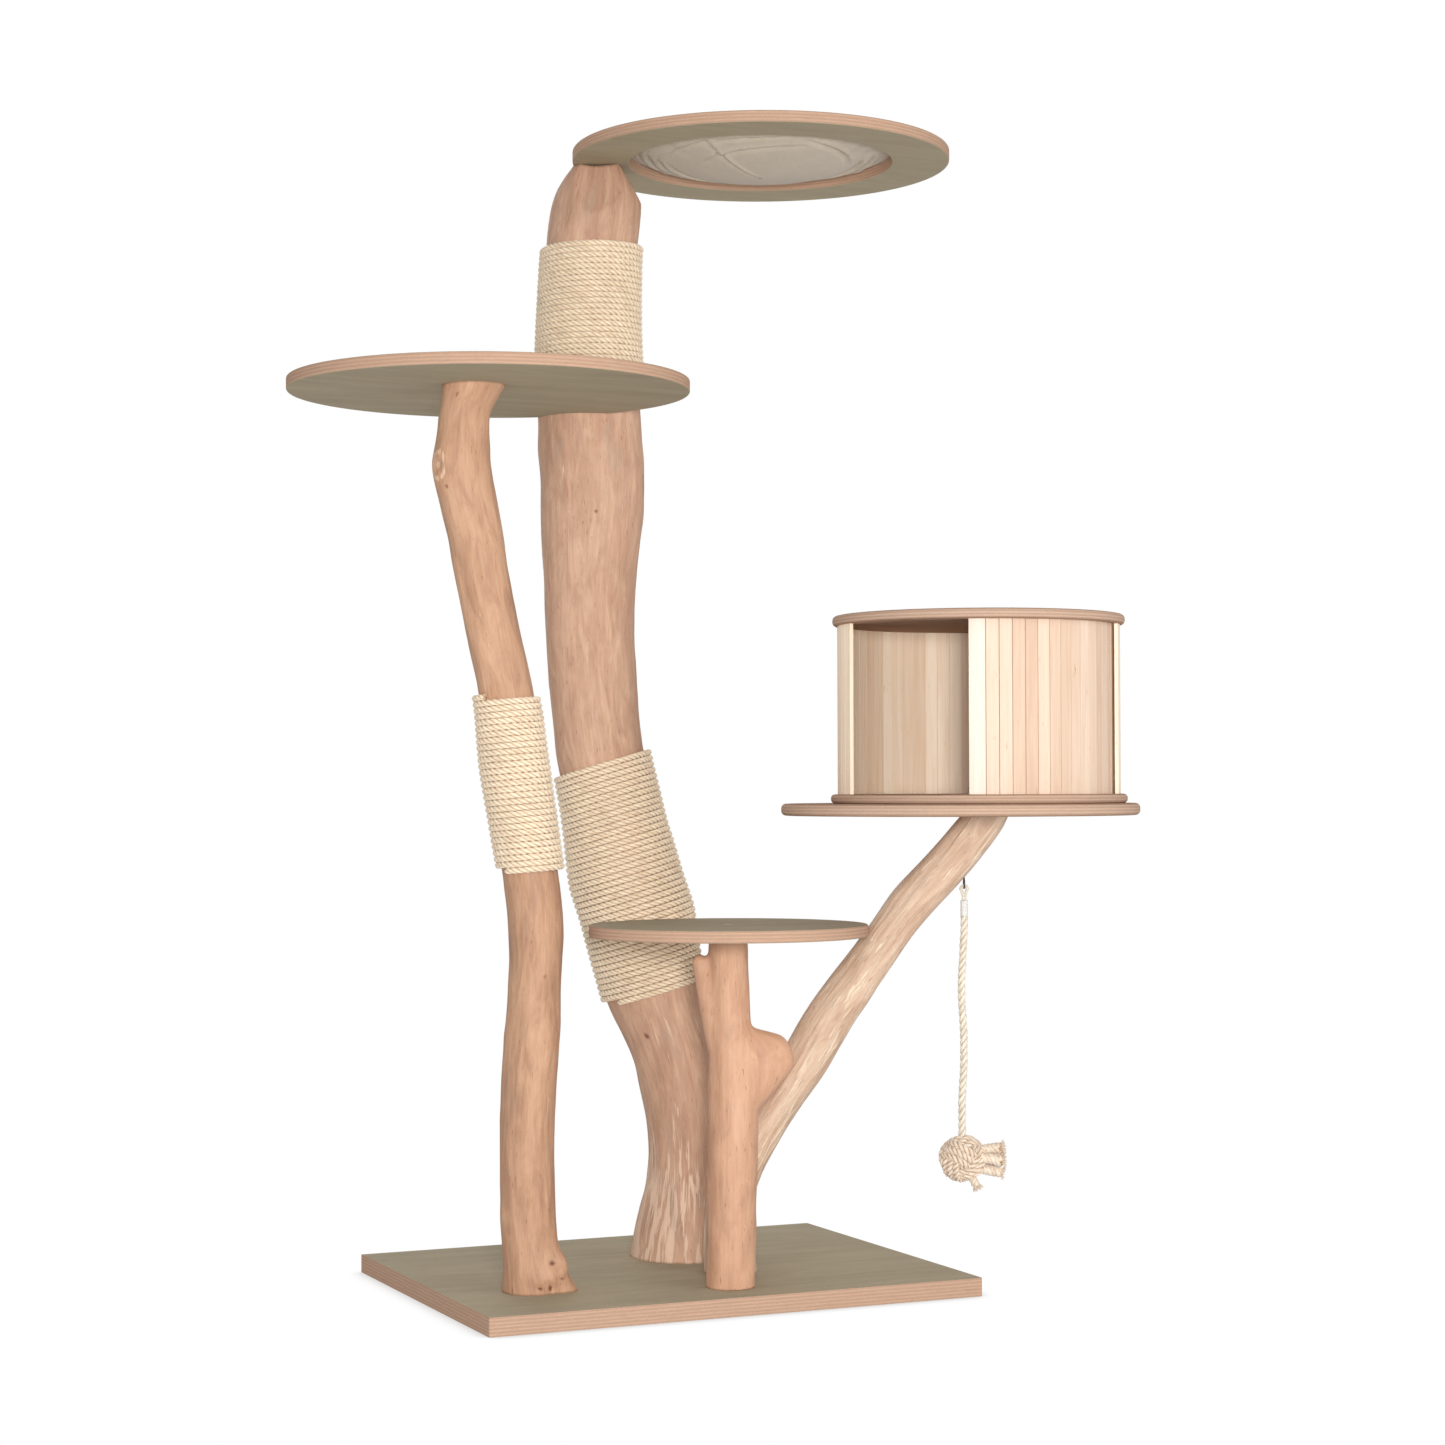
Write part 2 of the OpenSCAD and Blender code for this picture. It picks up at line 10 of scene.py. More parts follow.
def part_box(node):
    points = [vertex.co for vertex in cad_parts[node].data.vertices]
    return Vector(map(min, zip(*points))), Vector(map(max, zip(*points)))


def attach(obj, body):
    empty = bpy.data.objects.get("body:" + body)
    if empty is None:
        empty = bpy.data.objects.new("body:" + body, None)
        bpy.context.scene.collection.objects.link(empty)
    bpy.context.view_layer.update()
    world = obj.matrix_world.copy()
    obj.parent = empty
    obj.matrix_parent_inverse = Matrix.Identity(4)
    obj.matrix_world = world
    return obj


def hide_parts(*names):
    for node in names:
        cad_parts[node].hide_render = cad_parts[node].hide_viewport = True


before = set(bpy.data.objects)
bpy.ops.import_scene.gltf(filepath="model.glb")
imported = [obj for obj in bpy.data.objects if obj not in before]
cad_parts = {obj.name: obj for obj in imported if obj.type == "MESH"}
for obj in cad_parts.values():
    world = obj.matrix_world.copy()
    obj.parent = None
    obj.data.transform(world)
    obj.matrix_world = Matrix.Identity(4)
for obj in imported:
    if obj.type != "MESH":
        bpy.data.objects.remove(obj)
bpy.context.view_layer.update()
MM = 0.001
TAU = 2 * math.pi
# plan directions, in degrees: the way the camera sees as right, and the way it sees as towards itself
RIGHT, FACING = -24, 246
ACROSS = np.array([math.cos(math.radians(RIGHT)), math.sin(math.radians(RIGHT)), 0])
AWAY = np.array([-math.sin(math.radians(RIGHT)), math.cos(math.radians(RIGHT)), 0])
UP = np.array([0, 0, 1.0])


def add_object(name, data):
    obj = bpy.data.objects.new(name, data)
    bpy.context.collection.objects.link(obj)
    return obj


# ---------------- camera and light

CAMERA_AT = (-1.792, -4.245, 0.783)
CAMERA_HEADING, CAMERA_PITCH, CAMERA_ROLL = math.radians(-24.07), math.radians(1.25), math.radians(-0.16)
CAMERA_LENS = 72.6
# how strongly the white surround and the white floor light the object
SURROUND, FLOOR_GLOW = 0.5, 0.62


def add_node(tree, kind, inputs, output=0, **settings):
    """A new shader node, each of its inputs given as another node's output or as a value."""
    node = tree.nodes.new("ShaderNode" + kind)
    for key, value in settings.items():
        setattr(node, key, value)
    for key, value in inputs.items():
        if isinstance(value, bpy.types.NodeSocket):
            tree.links.new(value, node.inputs[key])
        else:
            node.inputs[key].default_value = value
    return node.outputs[output]


def make_camera():
    data = bpy.data.cameras.new("camera")
    data.lens = CAMERA_LENS
    data.sensor_width = 36
    data.clip_end = 60
    camera = add_object("camera", data)
    camera.matrix_world = (Matrix.Translation(CAMERA_AT) @ Matrix.Rotation(CAMERA_HEADING, 4, "Z")
                           @ Matrix.Rotation(math.pi / 2 + CAMERA_PITCH, 4, "X")
                           @ Matrix.Rotation(CAMERA_ROLL, 4, "Z"))
    bpy.context.scene.camera = camera


def area_light(name, at, target, size, power):
    data = bpy.data.lights.new(name, "AREA")
    data.shape = "DISK"
    data.size = size
    data.energy = power
    light = add_object(name, data)
    light.location = at
    light.rotation_euler = (Vector(target) - Vector(at)).to_track_quat("-Z", "Y").to_euler()


def make_world(seen, given):
    """A white surround: as bright as `seen` to the camera, and lighting the object by `given`."""
    world = bpy.data.worlds.new("studio")
    world.use_nodes = True
    bpy.context.scene.world = world
    tree = world.node_tree
    tree.nodes.clear()
    lit, shown = (add_node(tree, "Background", {"Color": (1, 1, 1, 1), "Strength": strength})
                  for strength in (given, seen))
    to_camera = add_node(tree, "LightPath", {}, "Is Camera Ray")
    surround = add_node(tree, "MixShader", {0: to_camera, 1: lit, 2: shown})
    out = tree.nodes.new("ShaderNodeOutputWorld")
    tree.links.new(surround, out.inputs["Surface"])


def make_light():
    make_world(1.0, SURROUND)
    middle = (0.1, -0.1, 0.9)
    area_light("key", (-1.6, -4.3, 0.95), middle, 0.7, 144)
    area_light("fill", (2.6, -3.4, 1.6), middle, 3.0, 40)
    area_light("back", (0.6, 3.6, 2.6), middle, 3.0, 45)
    bpy.context.scene.view_settings.view_transform = "Standard"


# ---------------- materials

def rgb(red, green, blue):
    """A colour given as 0 to 255 on screen, as Blender's linear values."""
    def linear(c):
        c /= 255
        return c / 12.92 if c <= 0.04045 else ((c + 0.055) / 1.055) ** 2.4
    return (linear(red), linear(green), linear(blue), 1)


class Shader:
    """One node material. Most of its methods add nodes and return an output socket."""

    def __init__(self, name, roughness, **inputs):
        self.material = bpy.data.materials.new(name)
        self.material.use_nodes = True
        self.tree = self.material.node_tree
        self.bsdf = self.tree.nodes["Principled BSDF"]
        self.bsdf.inputs["Roughness"].default_value = roughness
        for key, value in inputs.items():
            self.bsdf.inputs[key.replace("_", " ")].default_value = value

    def add(self, kind, inputs, output=0, **settings):
        return add_node(self.tree, kind, inputs, output, **settings)

    def attribute(self, name, output="Vector"):
        return self.add("Attribute", {}, output, attribute_name=name)

    def place(self):
        return self.add("TexCoord", {}, "Object")

    def stretch(self, vector, scale):
        return self.add("VectorMath", {0: vector, 1: scale}, operation="MULTIPLY")

    def noise(self, vector, scale, detail=3.0, rough=0.55, twist=0.0):
        """Noise from 0 to 1 over a vector stretched by `scale`, in cells per metre along each axis."""
        where = self.stretch(vector, scale)
        return self.add("TexNoise", {"Vector": where, "Scale": 1.0, "Detail": detail, "Roughness": rough,
                                     "Distortion": twist}, "Fac")

    def ramp(self, value, *stops):
        node = self.add("ValToRGB", {"Fac": value}).node
        elements = node.color_ramp.elements
        elements[0].position, elements[0].color = stops[0]
        elements[1].position, elements[1].color = stops[-1]
        for position, colour in stops[1:-1]:
            elements.new(position).color = colour
        return node.outputs["Color"]

    def between(self, value, low, high):
        """0 where value is under low, 1 over high, smooth between."""
        return self.add("MapRange", {"Value": value, "From Min": low, "From Max": high},
                        interpolation_type="SMOOTHSTEP")

    def math(self, operation, a, b=0.0):
        return self.add("Math", {0: a, 1: b}, operation=operation)

    def times(self, a, b):
        return self.math("MULTIPLY", a, b)

    def plus(self, a, b):
        return self.math("ADD", a, b)

    def mix(self, factor, a, b, blend="MIX"):
        return self.add("Mix", {0: factor, 6: a, 7: b}, 2, data_type="RGBA", blend_type=blend)

    def lay(self, colour, where, share, over):
        """The colour with another laid over it, by share where `where` is 1 and not at all where it is 0."""
        return self.mix(self.times(where, share), colour, over)

    def shade(self, colour, value, low, high):
        """The colour multiplied by a grey that runs from low to high as value runs from 0 to 1."""
        grey = self.ramp(value, (0.25, (low, low, low, 1)), (0.75, (high, high, high, 1)))
        return self.mix(1.0, colour, grey, "MULTIPLY")

    def bump(self, height, distance, strength=1.0, under=None):
        inputs = {"Height": height, "Distance": distance, "Strength": strength}
        if under is not None:
            inputs["Normal"] = under
        return self.add("Bump", inputs)

    def rough(self, value, low, high):
        self.tree.links.new(self.add("MapRange", {"Value": value, "To Min": low, "To Max": high}),
                            self.bsdf.inputs["Roughness"])

    def finished(self, colour, normal):
        self.tree.links.new(colour, self.bsdf.inputs["Base Color"])
        self.tree.links.new(normal, self.bsdf.inputs["Normal"])
        return self.material


def trunk_wood(name, light, middle, dark, cream, grey, cream_share):
    """Peeled trunk wood. Its grain attribute is a point's place on the straightened trunk, in metres.
    cream_share sets how much of the skin shows pale scraped streaks, and the cream attribute adds more."""
    s = Shader(name, 0.62, Specular_IOR_Level=0.35)
    grain = s.attribute("grain")
    wander = s.noise(grain, (9, 9, 2.2), 2.0)
    mottle = s.noise(grain, (48, 48, 12), 4.0, 0.62, 0.9)
    streak = s.noise(grain, (170, 170, 10), 4.0, 0.6, 0.4)
    fibre = s.noise(grain, (620, 620, 30), 3.0, 0.65)
    cloud = s.noise(grain, (13, 13, 5), 3.0, 0.55, 0.8)
    tone = s.plus(s.times(mottle, 0.48), s.times(cloud, 0.30))
    tone = s.plus(tone, s.times(streak, 0.22))
    colour = s.ramp(tone, (0.36, dark), (0.50, middle), (0.64, light))
    colour = s.shade(colour, wander, 0.95, 1.05)
    colour = s.shade(colour, fibre, 0.91, 1.07)
    # short dark pores in the wood
    pores = s.noise(grain, (520, 520, 60), 2.0, 0.5)
    dotted = s.between(pores, 0.66, 0.76)
    stained = s.mix(1.0, colour, rgb(170, 132, 108), "MULTIPLY")
    colour = s.lay(colour, dotted, 0.8, stained)
    # pale dashes where bark and sapwood were scraped off
    scrape = s.noise(grain, (150, 150, 13), 3.0, 0.6, 0.6)
    patch = s.noise(grain, (9, 9, 4), 2.0)
    level = s.plus(s.times(patch, 0.20), s.attribute("cream", "Fac"))
    pale = s.between(s.plus(scrape, level), 0.80 - cream_share, 0.88 - cream_share)
    colour = s.lay(colour, pale, 0.80, cream)
    # greyish remains of the inner bark
    bark = s.between(s.noise(grain, (30, 30, 7), 3.0, 0.6, 1.0), 0.58, 0.74)
    colour = s.lay(colour, bark, 0.55, grey)
    knot = s.attribute("knot", "Fac")
    ring = s.noise(grain, (300, 300, 160), 2.0)
    darkness = s.between(s.times(knot, s.plus(ring, 0.55)), 0.25, 0.95)
    colour = s.mix(darkness, colour, rgb(122, 76, 56))
    s.rough(streak, 0.52, 0.74)
    height = s.plus(s.times(streak, 0.6), s.times(fibre, 0.35))
    coarse = s.bump(s.plus(height, s.times(pale, 0.35)), 0.0016, 0.9)
    return s.finished(colour, s.bump(pores, 0.0005, 0.5, coarse))


def plywood(name, face_light, face_dark, edge_light, edge_dark, ply):
    """Plywood: veneer grain along X on the faces, and the plies' lines around the edge."""
    s = Shader(name, 0.8, Specular_IOR_Level=0.12)
    place = s.place()
    split = s.add("SeparateXYZ", {0: s.add("NewGeometry", {}, "Normal")}, 2)
    on_face = s.between(s.math("ABSOLUTE", split), 0.55, 0.85)
    figure = s.noise(place, (3, 20, 20), 4.0, 0.6, 1.4)
    veneer = s.noise(place, (40, 420, 420), 3.0, 0.65)
    blotch = s.noise(place, (5, 7, 7), 2.0)
    face = s.ramp(figure, (0.25, face_dark), (0.75, face_light))
    face = s.shade(face, veneer, 0.93, 1.06)
    face = s.shade(face, s.noise(place, (300, 700, 700), 2.0), 0.95, 1.05)
    face = s.shade(face, blotch, 0.96, 1.04)
    height = s.add("SeparateXYZ", {0: place}, 2)
    wobble = s.noise(place, (4, 4, 4), 1.0)
    depth = s.plus(s.times(height, TAU / ply), s.times(wobble, 1.2))
    layer = s.math("SINE", depth)
    grain = s.noise(place, (34, 34, 900), 3.0, 0.6)
    edge = s.mix(s.between(layer, -0.8, 0.8), edge_light, edge_dark)
    edge = s.shade(edge, grain, 0.90, 1.07)
    edge = s.shade(edge, s.noise(place, (260, 260, 420), 3.0), 0.93, 1.05)
    glue = s.between(s.math("ABSOLUTE", layer), 0.22, 0.05)
    edge = s.lay(edge, glue, 0.12, rgb(120, 84, 66))
    colour = s.mix(on_face, edge, face)
    s.rough(figure, 0.74, 0.90)
    relief = s.mix(on_face, s.times(layer, 0.25), veneer)
    return s.finished(colour, s.bump(relief, 0.0004, 0.6))


def sisal_fibre(name, light, middle, dark, groove_shade_colour, fibres, depth):
    """Twisted natural rope. Its grain attribute is round in metres, out from the rope's line (1 at its
    skin) and along each strand in metres."""
    s = Shader(name, 0.82, Sheen_Weight=0.2, Sheen_Roughness=0.5, Specular_IOR_Level=0.25)
    grain = s.attribute("grain")
    fibre = s.noise(grain, (fibres, 0.0, 40), 4.0, 0.62, 0.5)
    along = s.noise(grain, (0.0, 0.0, 9), 2.0)
    patch = s.noise(s.place(), (26, 26, 26), 2.0)
    colour = s.ramp(fibre, (0.30, dark), (0.46, middle), (0.66, light))
    colour = s.shade(colour, along, 0.93, 1.05)
    colour = s.shade(colour, patch, 0.95, 1.04)
    # painted shade: where the surface lies inward, in the grooves between strands and against what the rope
    # lies on, its colour is darkened towards the fourth colour by share depth
    out = s.add("SeparateXYZ", {0: grain}, 1)
    painted_groove_shade = s.between(out, 0.98, 0.70)
    colour = s.mix(s.times(painted_groove_shade, depth), colour, s.mix(1.0, colour, groove_shade_colour, "MULTIPLY"))
    return s.finished(colour, s.bump(fibre, 0.0009, 0.9))


def slat_wood(name, light, dark, tones):
    """Planed slats. The tone attribute is one random number per slat, and grain runs along Z."""
    s = Shader(name, 0.50, Specular_IOR_Level=0.4)
    grain = s.attribute("grain")
    tone = s.attribute("tone", "Fac")
    figure = s.noise(grain, (110, 110, 5), 4.0, 0.6, 1.0)
    fibre = s.noise(grain, (700, 700, 14), 3.0)
    fleck = s.noise(grain, (330, 330, 38), 2.0)
    colour = s.ramp(s.plus(s.times(figure, 0.68), s.times(tone, 0.32)),
                    (0.28, dark), (0.72, light))
    colour = s.shade(colour, tone, *tones)
    colour = s.shade(colour, fibre, 0.96, 1.03)
    colour = s.mix(s.between(fleck, 0.70, 0.80), colour, s.mix(1.0, colour, rgb(222, 198, 180), "MULTIPLY"))
    return s.finished(colour, s.bump(s.plus(figure, s.times(fibre, 0.5)), 0.0004, 0.5))


def woven(name, light, dark, threads, sheen=0.3):
    """Plain weave over the two flat directions of the grain attribute."""
    s = Shader(name, 0.88, Sheen_Weight=sheen, Sheen_Roughness=0.6, Specular_IOR_Level=0.2)
    grain = s.attribute("grain")
    split = s.add("SeparateXYZ", {0: grain}).node
    warp = s.math("SINE", s.times(split.outputs[0], TAU * threads))
    weft = s.math("SINE", s.times(split.outputs[1], TAU * threads))
    weave = s.times(warp, weft)
    slub = s.noise(grain, (70, 620, 10), 2.0)
    slub2 = s.noise(grain, (620, 70, 10), 2.0)
    blotch = s.noise(grain, (12, 12, 12), 3.0)
    colour = s.ramp(s.times(s.plus(slub, slub2), 0.5), (0.30, dark), (0.70, light))
    colour = s.shade(colour, blotch, 0.93, 1.05)
    colour = s.shade(colour, s.between(weave, -1.0, 1.0), 0.95, 1.04)
    return s.finished(colour, s.bump(s.plus(weave, s.times(slub, 1.2)), 0.0003, 0.6))


def metal(name, tint, roughness):
    s = Shader(name, roughness, Metallic=1.0)
    place = s.place()
    scuff = s.noise(place, (900, 900, 900), 3.0)
    colour = s.shade(s.ramp(scuff, (0.2, tint), (0.8, tint)), scuff, 0.8, 1.1)
    s.rough(scuff, roughness * 0.8, roughness * 1.3)
    return s.finished(colour, s.bump(scuff, 0.0001, 0.4))


# each material: its shader, its colours as seen on screen, and its settings
LOOKS = {
    "plywood": (plywood, [(179, 167, 143), (162, 151, 127), (192, 158, 134), (180, 146, 123)], 5.2 * MM),
    "house_plywood": (plywood, [(176, 142, 118), (158, 124, 102), (196, 166, 144),
                                (178, 148, 128)], 4.6 * MM),
    "main_wood": (trunk_wood, [(216, 178, 150), (196, 156, 130), (176, 134, 110), (226, 196, 172),
                               (176, 150, 132)], 0.05),
    "thin_wood": (trunk_wood, [(207, 165, 134), (190, 147, 117), (166, 124, 98), (226, 192, 160),
                               (170, 138, 116)], 0.01),
    "short_wood": (trunk_wood, [(216, 172, 142), (204, 158, 128), (184, 138, 110), (230, 194, 162),
                                (186, 150, 128)], 0.0),
    "leaning_wood": (trunk_wood, [(232, 206, 182), (216, 184, 158), (188, 150, 124), (244, 222, 196),
                                  (188, 164, 142)], 0.08),
    # for the ropes: three fibre tones, then the painted shade in the grooves between strands, the fibres'
    # scale and the painted shade's share
    "sisal": (sisal_fibre, [(250, 235, 210), (238, 219, 192), (212, 185, 152), (202, 170, 132)], 420, 0.8),
    "plug_wood": (plywood, [(226, 206, 180), (206, 182, 150), (226, 206, 180), (206, 182, 150)], 5 * MM),
    "hammock_cloth": (woven, [(204, 190, 170), (186, 172, 152)], 700),
    "hammock_hem": (woven, [(204, 192, 176), (186, 174, 158)], 700),
    "wall_slats": (slat_wood, [(255, 236, 212), (240, 208, 176)], (0.97, 1.02)),
    "door_slats": (slat_wood, [(226, 202, 180), (210, 178, 152)], (0.97, 1.02)),
    "lead_slat": (slat_wood, [(238, 223, 210), (226, 203, 184)], (0.99, 1.01)),
    "slat_backing": (woven, [(214, 188, 156), (188, 160, 128)], 500),
    "screw_steel": (metal, [(198, 200, 204)], 0.32),
    "eye_steel": (metal, [(84, 80, 78)], 0.42),
    "toy_rope": (sisal_fibre, [(240, 234, 220), (226, 217, 200), (200, 186, 162),
                               (196, 176, 148)], 520, 0.65),
    "toy_ball": (sisal_fibre, [(242, 227, 210), (226, 207, 185), (192, 167, 140),
                               (192, 158, 122)], 520, 0.85),
    "toy_tape": (woven, [(244, 243, 240), (222, 220, 214)], 900, 0.1),
}
MATERIALS = {name: shader(name, *[rgb(*colour) for colour in colours], *settings)
             for name, (shader, colours, *settings) in LOOKS.items()}


# ---------------- mesh helpers

def grid(rows, columns, closed_rows=False, closed_columns=True):
    """Quads of a grid of points laid out row by row."""
    r = np.arange(rows if closed_rows else rows - 1)[:, None]
    c = np.arange(columns if closed_columns else columns - 1)[None, :]
    r1, c1 = (r + 1) % rows, (c + 1) % columns
    corners = [r * columns + c, r * columns + c1, r1 * columns + c1, r1 * columns + c]
    return np.stack(corners, -1).reshape(-1, 4)


def close_ends(rows, sides):
    """Faces of a grid, with its first and last row closed."""
    faces = grid(rows, sides).tolist()
    faces.append(list(range(sides))[::-1])
    faces.append(list(range((rows - 1) * sides, rows * sides)))
    return faces


def make_piece(name, points, faces, slot, body, nodes=(), flat=False, look=None, **attributes):
    """A piece from points in the row frame. Attributes are one value or vector per point, and look is its
    material where that isn't its slot's own."""
    mesh = bpy.data.meshes.new(name)
    mesh.from_pydata(np.asarray(points).tolist(), [], [list(map(int, f)) for f in faces])
    for key, values in attributes.items():
        values = np.asarray(values, np.float32)
        kind = "FLOAT_VECTOR" if values.ndim == 2 else "FLOAT"
        layer = mesh.attributes.new(key, kind, "POINT")
        layer.data.foreach_set("vector" if values.ndim == 2 else "value", values.ravel())
    mesh.materials.append(MATERIALS[look or slot])
    if not flat:
        mesh.shade_smooth()
    piece = add_object(name, mesh)
    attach(piece, body)
    if nodes:
        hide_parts(*nodes)
    return piece


def polar(centre, radius, a, z):
    """Points at height z, radius away from a plan centre in direction a."""
    radius, a, z = np.broadcast_arrays(radius, a, z)
    return np.stack([centre[0] + radius * np.cos(a), centre[1] + radius * np.sin(a), z], -1)


def unit(v):
    return v / np.maximum(np.linalg.norm(v, axis=-1, keepdims=True), 1e-12)


def squared(v, along):
    """v turned square to along, with length 1."""
    return unit(v - along * np.sum(v * along, -1, keepdims=True))


def smooth_path(points, step):
    """A smooth curve through given points, as points about `step` apart."""
    p = np.asarray(points, float)
    ends = np.vstack([2 * p[0] - p[1], p, 2 * p[-1] - p[-2]])
    out = []
    for a, b, c, d in zip(ends, ends[1:], ends[2:], ends[3:]):
        t = np.linspace(0, 1, max(2, int(np.linalg.norm(c - b) / step) + 1), endpoint=False)[:, None]
        bend, pull = 2 * a - 5 * b + 4 * c - d, 3 * b - a - 3 * c + d
        out.append(0.5 * (2 * b + (c - a) * t + bend * t**2 + pull * t**3))
    return np.vstack(out + [p[-1:]])


def frames(path, closed=False):
    """Tangents and two normals along a path, carried along without twist."""
    if closed:
        tangent = unit(np.roll(path, -1, 0) - np.roll(path, 1, 0))
    else:
        tangent = unit(np.gradient(path, axis=0))
    normal = np.zeros_like(path)
    start = np.array([0, 0, 1.0]) if abs(tangent[0][2]) < 0.9 else np.array([1.0, 0, 0])
    normal[0] = unit(np.cross(tangent[0], start))
    for i in range(1, len(path)):
        n = normal[i - 1] - tangent[i] * (normal[i - 1] @ tangent[i])
        normal[i] = n / np.linalg.norm(n)
    if closed:
        last = normal[-1] - tangent[0] * (normal[-1] @ tangent[0])
        turn = math.atan2(np.cross(last, normal[0]) @ tangent[0], last @ normal[0])
        spin = (np.arange(len(path)) / len(path) * turn)[:, None]
        side = np.cross(tangent, normal)
        normal = normal * np.cos(spin) + side * np.sin(spin)
    return tangent, normal, np.cross(tangent, normal)


def lengths(path):
    return np.concatenate([[0], np.cumsum(np.linalg.norm(np.diff(path, axis=0), axis=1))])


def tube(path, radius, sides, closed=False, strand=0, normals=None, twist=0):
    """Points, faces and grain of a round tube. radius is one number, or one per point of the path, and
    twist turns the fibres round the tube, in radians per metre."""
    _, n, b = frames(path, closed) if normals is None else normals
    radius = np.broadcast_to(np.asarray(radius, float), len(path))[:, None, None]
    a = np.arange(sides) * TAU / sides
    ring = np.cos(a)[None, :, None] * n[:, None, :] + np.sin(a)[None, :, None] * b[:, None, :]
    points = path[:, None, :] + radius * ring
    s = lengths(path)
    grain = np.stack([np.sin(a[None, :] + twist * s[:, None]) * 0.004,
                      np.full((len(path), sides), float(strand)),
                      np.broadcast_to(s[:, None], (len(path), sides))], -1)
    faces = grid(len(path), sides, True) if closed else close_ends(len(path), sides)
    return points.reshape(-1, 3), faces, grain.reshape(-1, 3)


def grooved(part, path, radius):
    """The part with its grain's middle value set to how far each point is out from the rope's own line."""
    points, faces, grain = part
    sides = len(points) // len(path)
    out = np.linalg.norm(points.reshape(len(path), sides, 3) - path[:, None, :], axis=2) / radius
    grain = grain.copy()
    grain[:, 1] = out.ravel()
    return points, faces, grain


def join(parts):
    """Several (points, faces, grain) as one."""
    points, faces, grain, start = [], [], [], 0
    for p, f, g in parts:
        points.append(p)
        faces.extend((np.asarray(face) + start).tolist() for face in f)
        grain.append(g)
        start += len(p)
    return np.vstack(points), faces, np.vstack(grain)


def joined_piece(name, node, slot, body, parts, look=None):
    """One piece from several (points, faces, grain)."""
    points, faces, grain = join(parts)
    return make_piece(name, points, faces, slot, body, [node], look=look, grain=grain)


# strands in every rope, how far out each one's line is in rope diameters, and how far its fibres are
# shifted along it from the last one's
STRANDS, STRAND_OUT, STRAND_SHIFT = 3, 0.235, 0.37


def twisted(path, diameter, lay, sides, closed=False, number=0, outward=None, thick=0.268, twist=90):
    """A rope of twisted strands along a path: a list of (points, faces, grain). outward is one direction
    per point to lay the strands out from, and without it frames are carried along the path. thick is a
    strand's radius in rope diameters, and twist turns its fibres, in radians per metre."""
    if outward is None:
        _, n, b = frames(path, closed)
    else:
        tangent = unit(np.gradient(path, axis=0))
        n = squared(outward, tangent)
        b = np.cross(tangent, n)
    s = lengths(path)
    total = s[-1] + (np.linalg.norm(path[0] - path[-1]) if closed else 0)
    turns = round(total / lay) if closed else total / lay
    parts, normals = [], None
    for k in range(STRANDS):
        psi = (TAU * turns * s / total + TAU * k / STRANDS)[:, None]
        centre = path + diameter * STRAND_OUT * (np.cos(psi) * n + np.sin(psi) * b)
        if outward is not None:
            along = unit(np.gradient(centre, axis=0))
            side = squared(n, along)
            normals = along, side, np.cross(along, side)
        part = tube(centre, diameter * thick, sides, closed, normals=normals, twist=twist)
        part = grooved(part, path, diameter / 2)
        part[2][:, 2] += STRAND_SHIFT * (number * STRANDS + k)
        parts.append(part)
    return parts


# ---------------- trunks

class Skin:
    """A trunk's outer surface, read off its CAD node: at each height its centre, and its radius as a
    short Fourier series of the direction, which leaves the CAD facets out. softer evens it out along z."""

    SPACING, WAVES, WIDEST, RAYS = 8 * MM, 6, 0.2, 48

    def __init__(self, node, skip=(), softer=1):
        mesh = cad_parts[node].data
        mesh.calc_loop_triangles()
        tree = BVHTree.FromPolygons([v.co for v in mesh.vertices], [t.vertices for t in mesh.loop_triangles])
        low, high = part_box(node)
        self.low, self.high = low.z, high.z
        self.z = np.linspace(low.z + 0.4 * MM, high.z - 0.4 * MM, int((high.z - low.z) / self.SPACING))
        measured = [z for z in self.z if not any(a <= z <= b for a, b in skip)]
        foot = [v.co for v in mesh.vertices if v.co.z < low.z + MM]
        centre = sum(foot, Vector()) / len(foot)
        directions = [Vector((math.cos(a), math.sin(a), 0)) for a in np.arange(self.RAYS) * TAU / self.RAYS]
        rows = []
        for z in measured:
            for _ in range(3):
                hits = []
                middle = Vector((centre.x, centre.y, z))
                for d in directions:
                    hit = tree.ray_cast(middle + d * self.WIDEST, -d, self.WIDEST)[0]
                    hits.append(middle + d * 0.03 if hit is None else hit)
                points = np.array(hits)[:, :2]
                centre = Vector((*((points.max(0) + points.min(0)) / 2), 0))
            radius = np.linalg.norm(points - np.array(centre)[:2], axis=1)
            wave = np.fft.rfft(radius)[: self.WAVES + 1] / self.RAYS
            wave[1:] *= 2
            rows.append([*centre[:2], *wave.real, *wave.imag])
        # a skipped stretch is bridged, so that the levels stay evenly spaced
        columns = [self._soft(np.interp(self.z, measured, column), softer) for column in np.array(rows).T]
        self.line, self.real, self.imag = columns[:2], columns[2: 3 + self.WAVES], columns[3 + self.WAVES:]
        self.mean = self.real[0].mean()
        self.bends = lengths(np.column_stack([*self.line, self.z]))

    @staticmethod
    def _soft(values, times):
        kernel = np.array([1, 3, 4, 3, 1]) / 12
        for _ in range(times):
            before, after = 2 * values[0] - values[2:0:-1], 2 * values[-1] - values[-2:-4:-1]
            values = np.convolve(np.concatenate([before, values, after]), kernel, "valid")
        return values

    def centre(self, z):
        return np.stack([np.interp(z, self.z, column) for column in self.line], -1)

    def along(self, z):
        return np.interp(z, self.z, self.bends)

    def radius(self, z, a):
        r = np.interp(z, self.z, self.real[0])
        for k in range(1, self.WAVES + 1):
            real, imag = (np.interp(z, self.z, part[k]) for part in (self.real, self.imag))
            r = r + real * np.cos(k * a) - imag * np.sin(k * a)
        return r

    def point(self, z, a, out=0.0):
        return polar(np.moveaxis(self.centre(z), -1, 0), self.radius(z, a) + out, a, z)


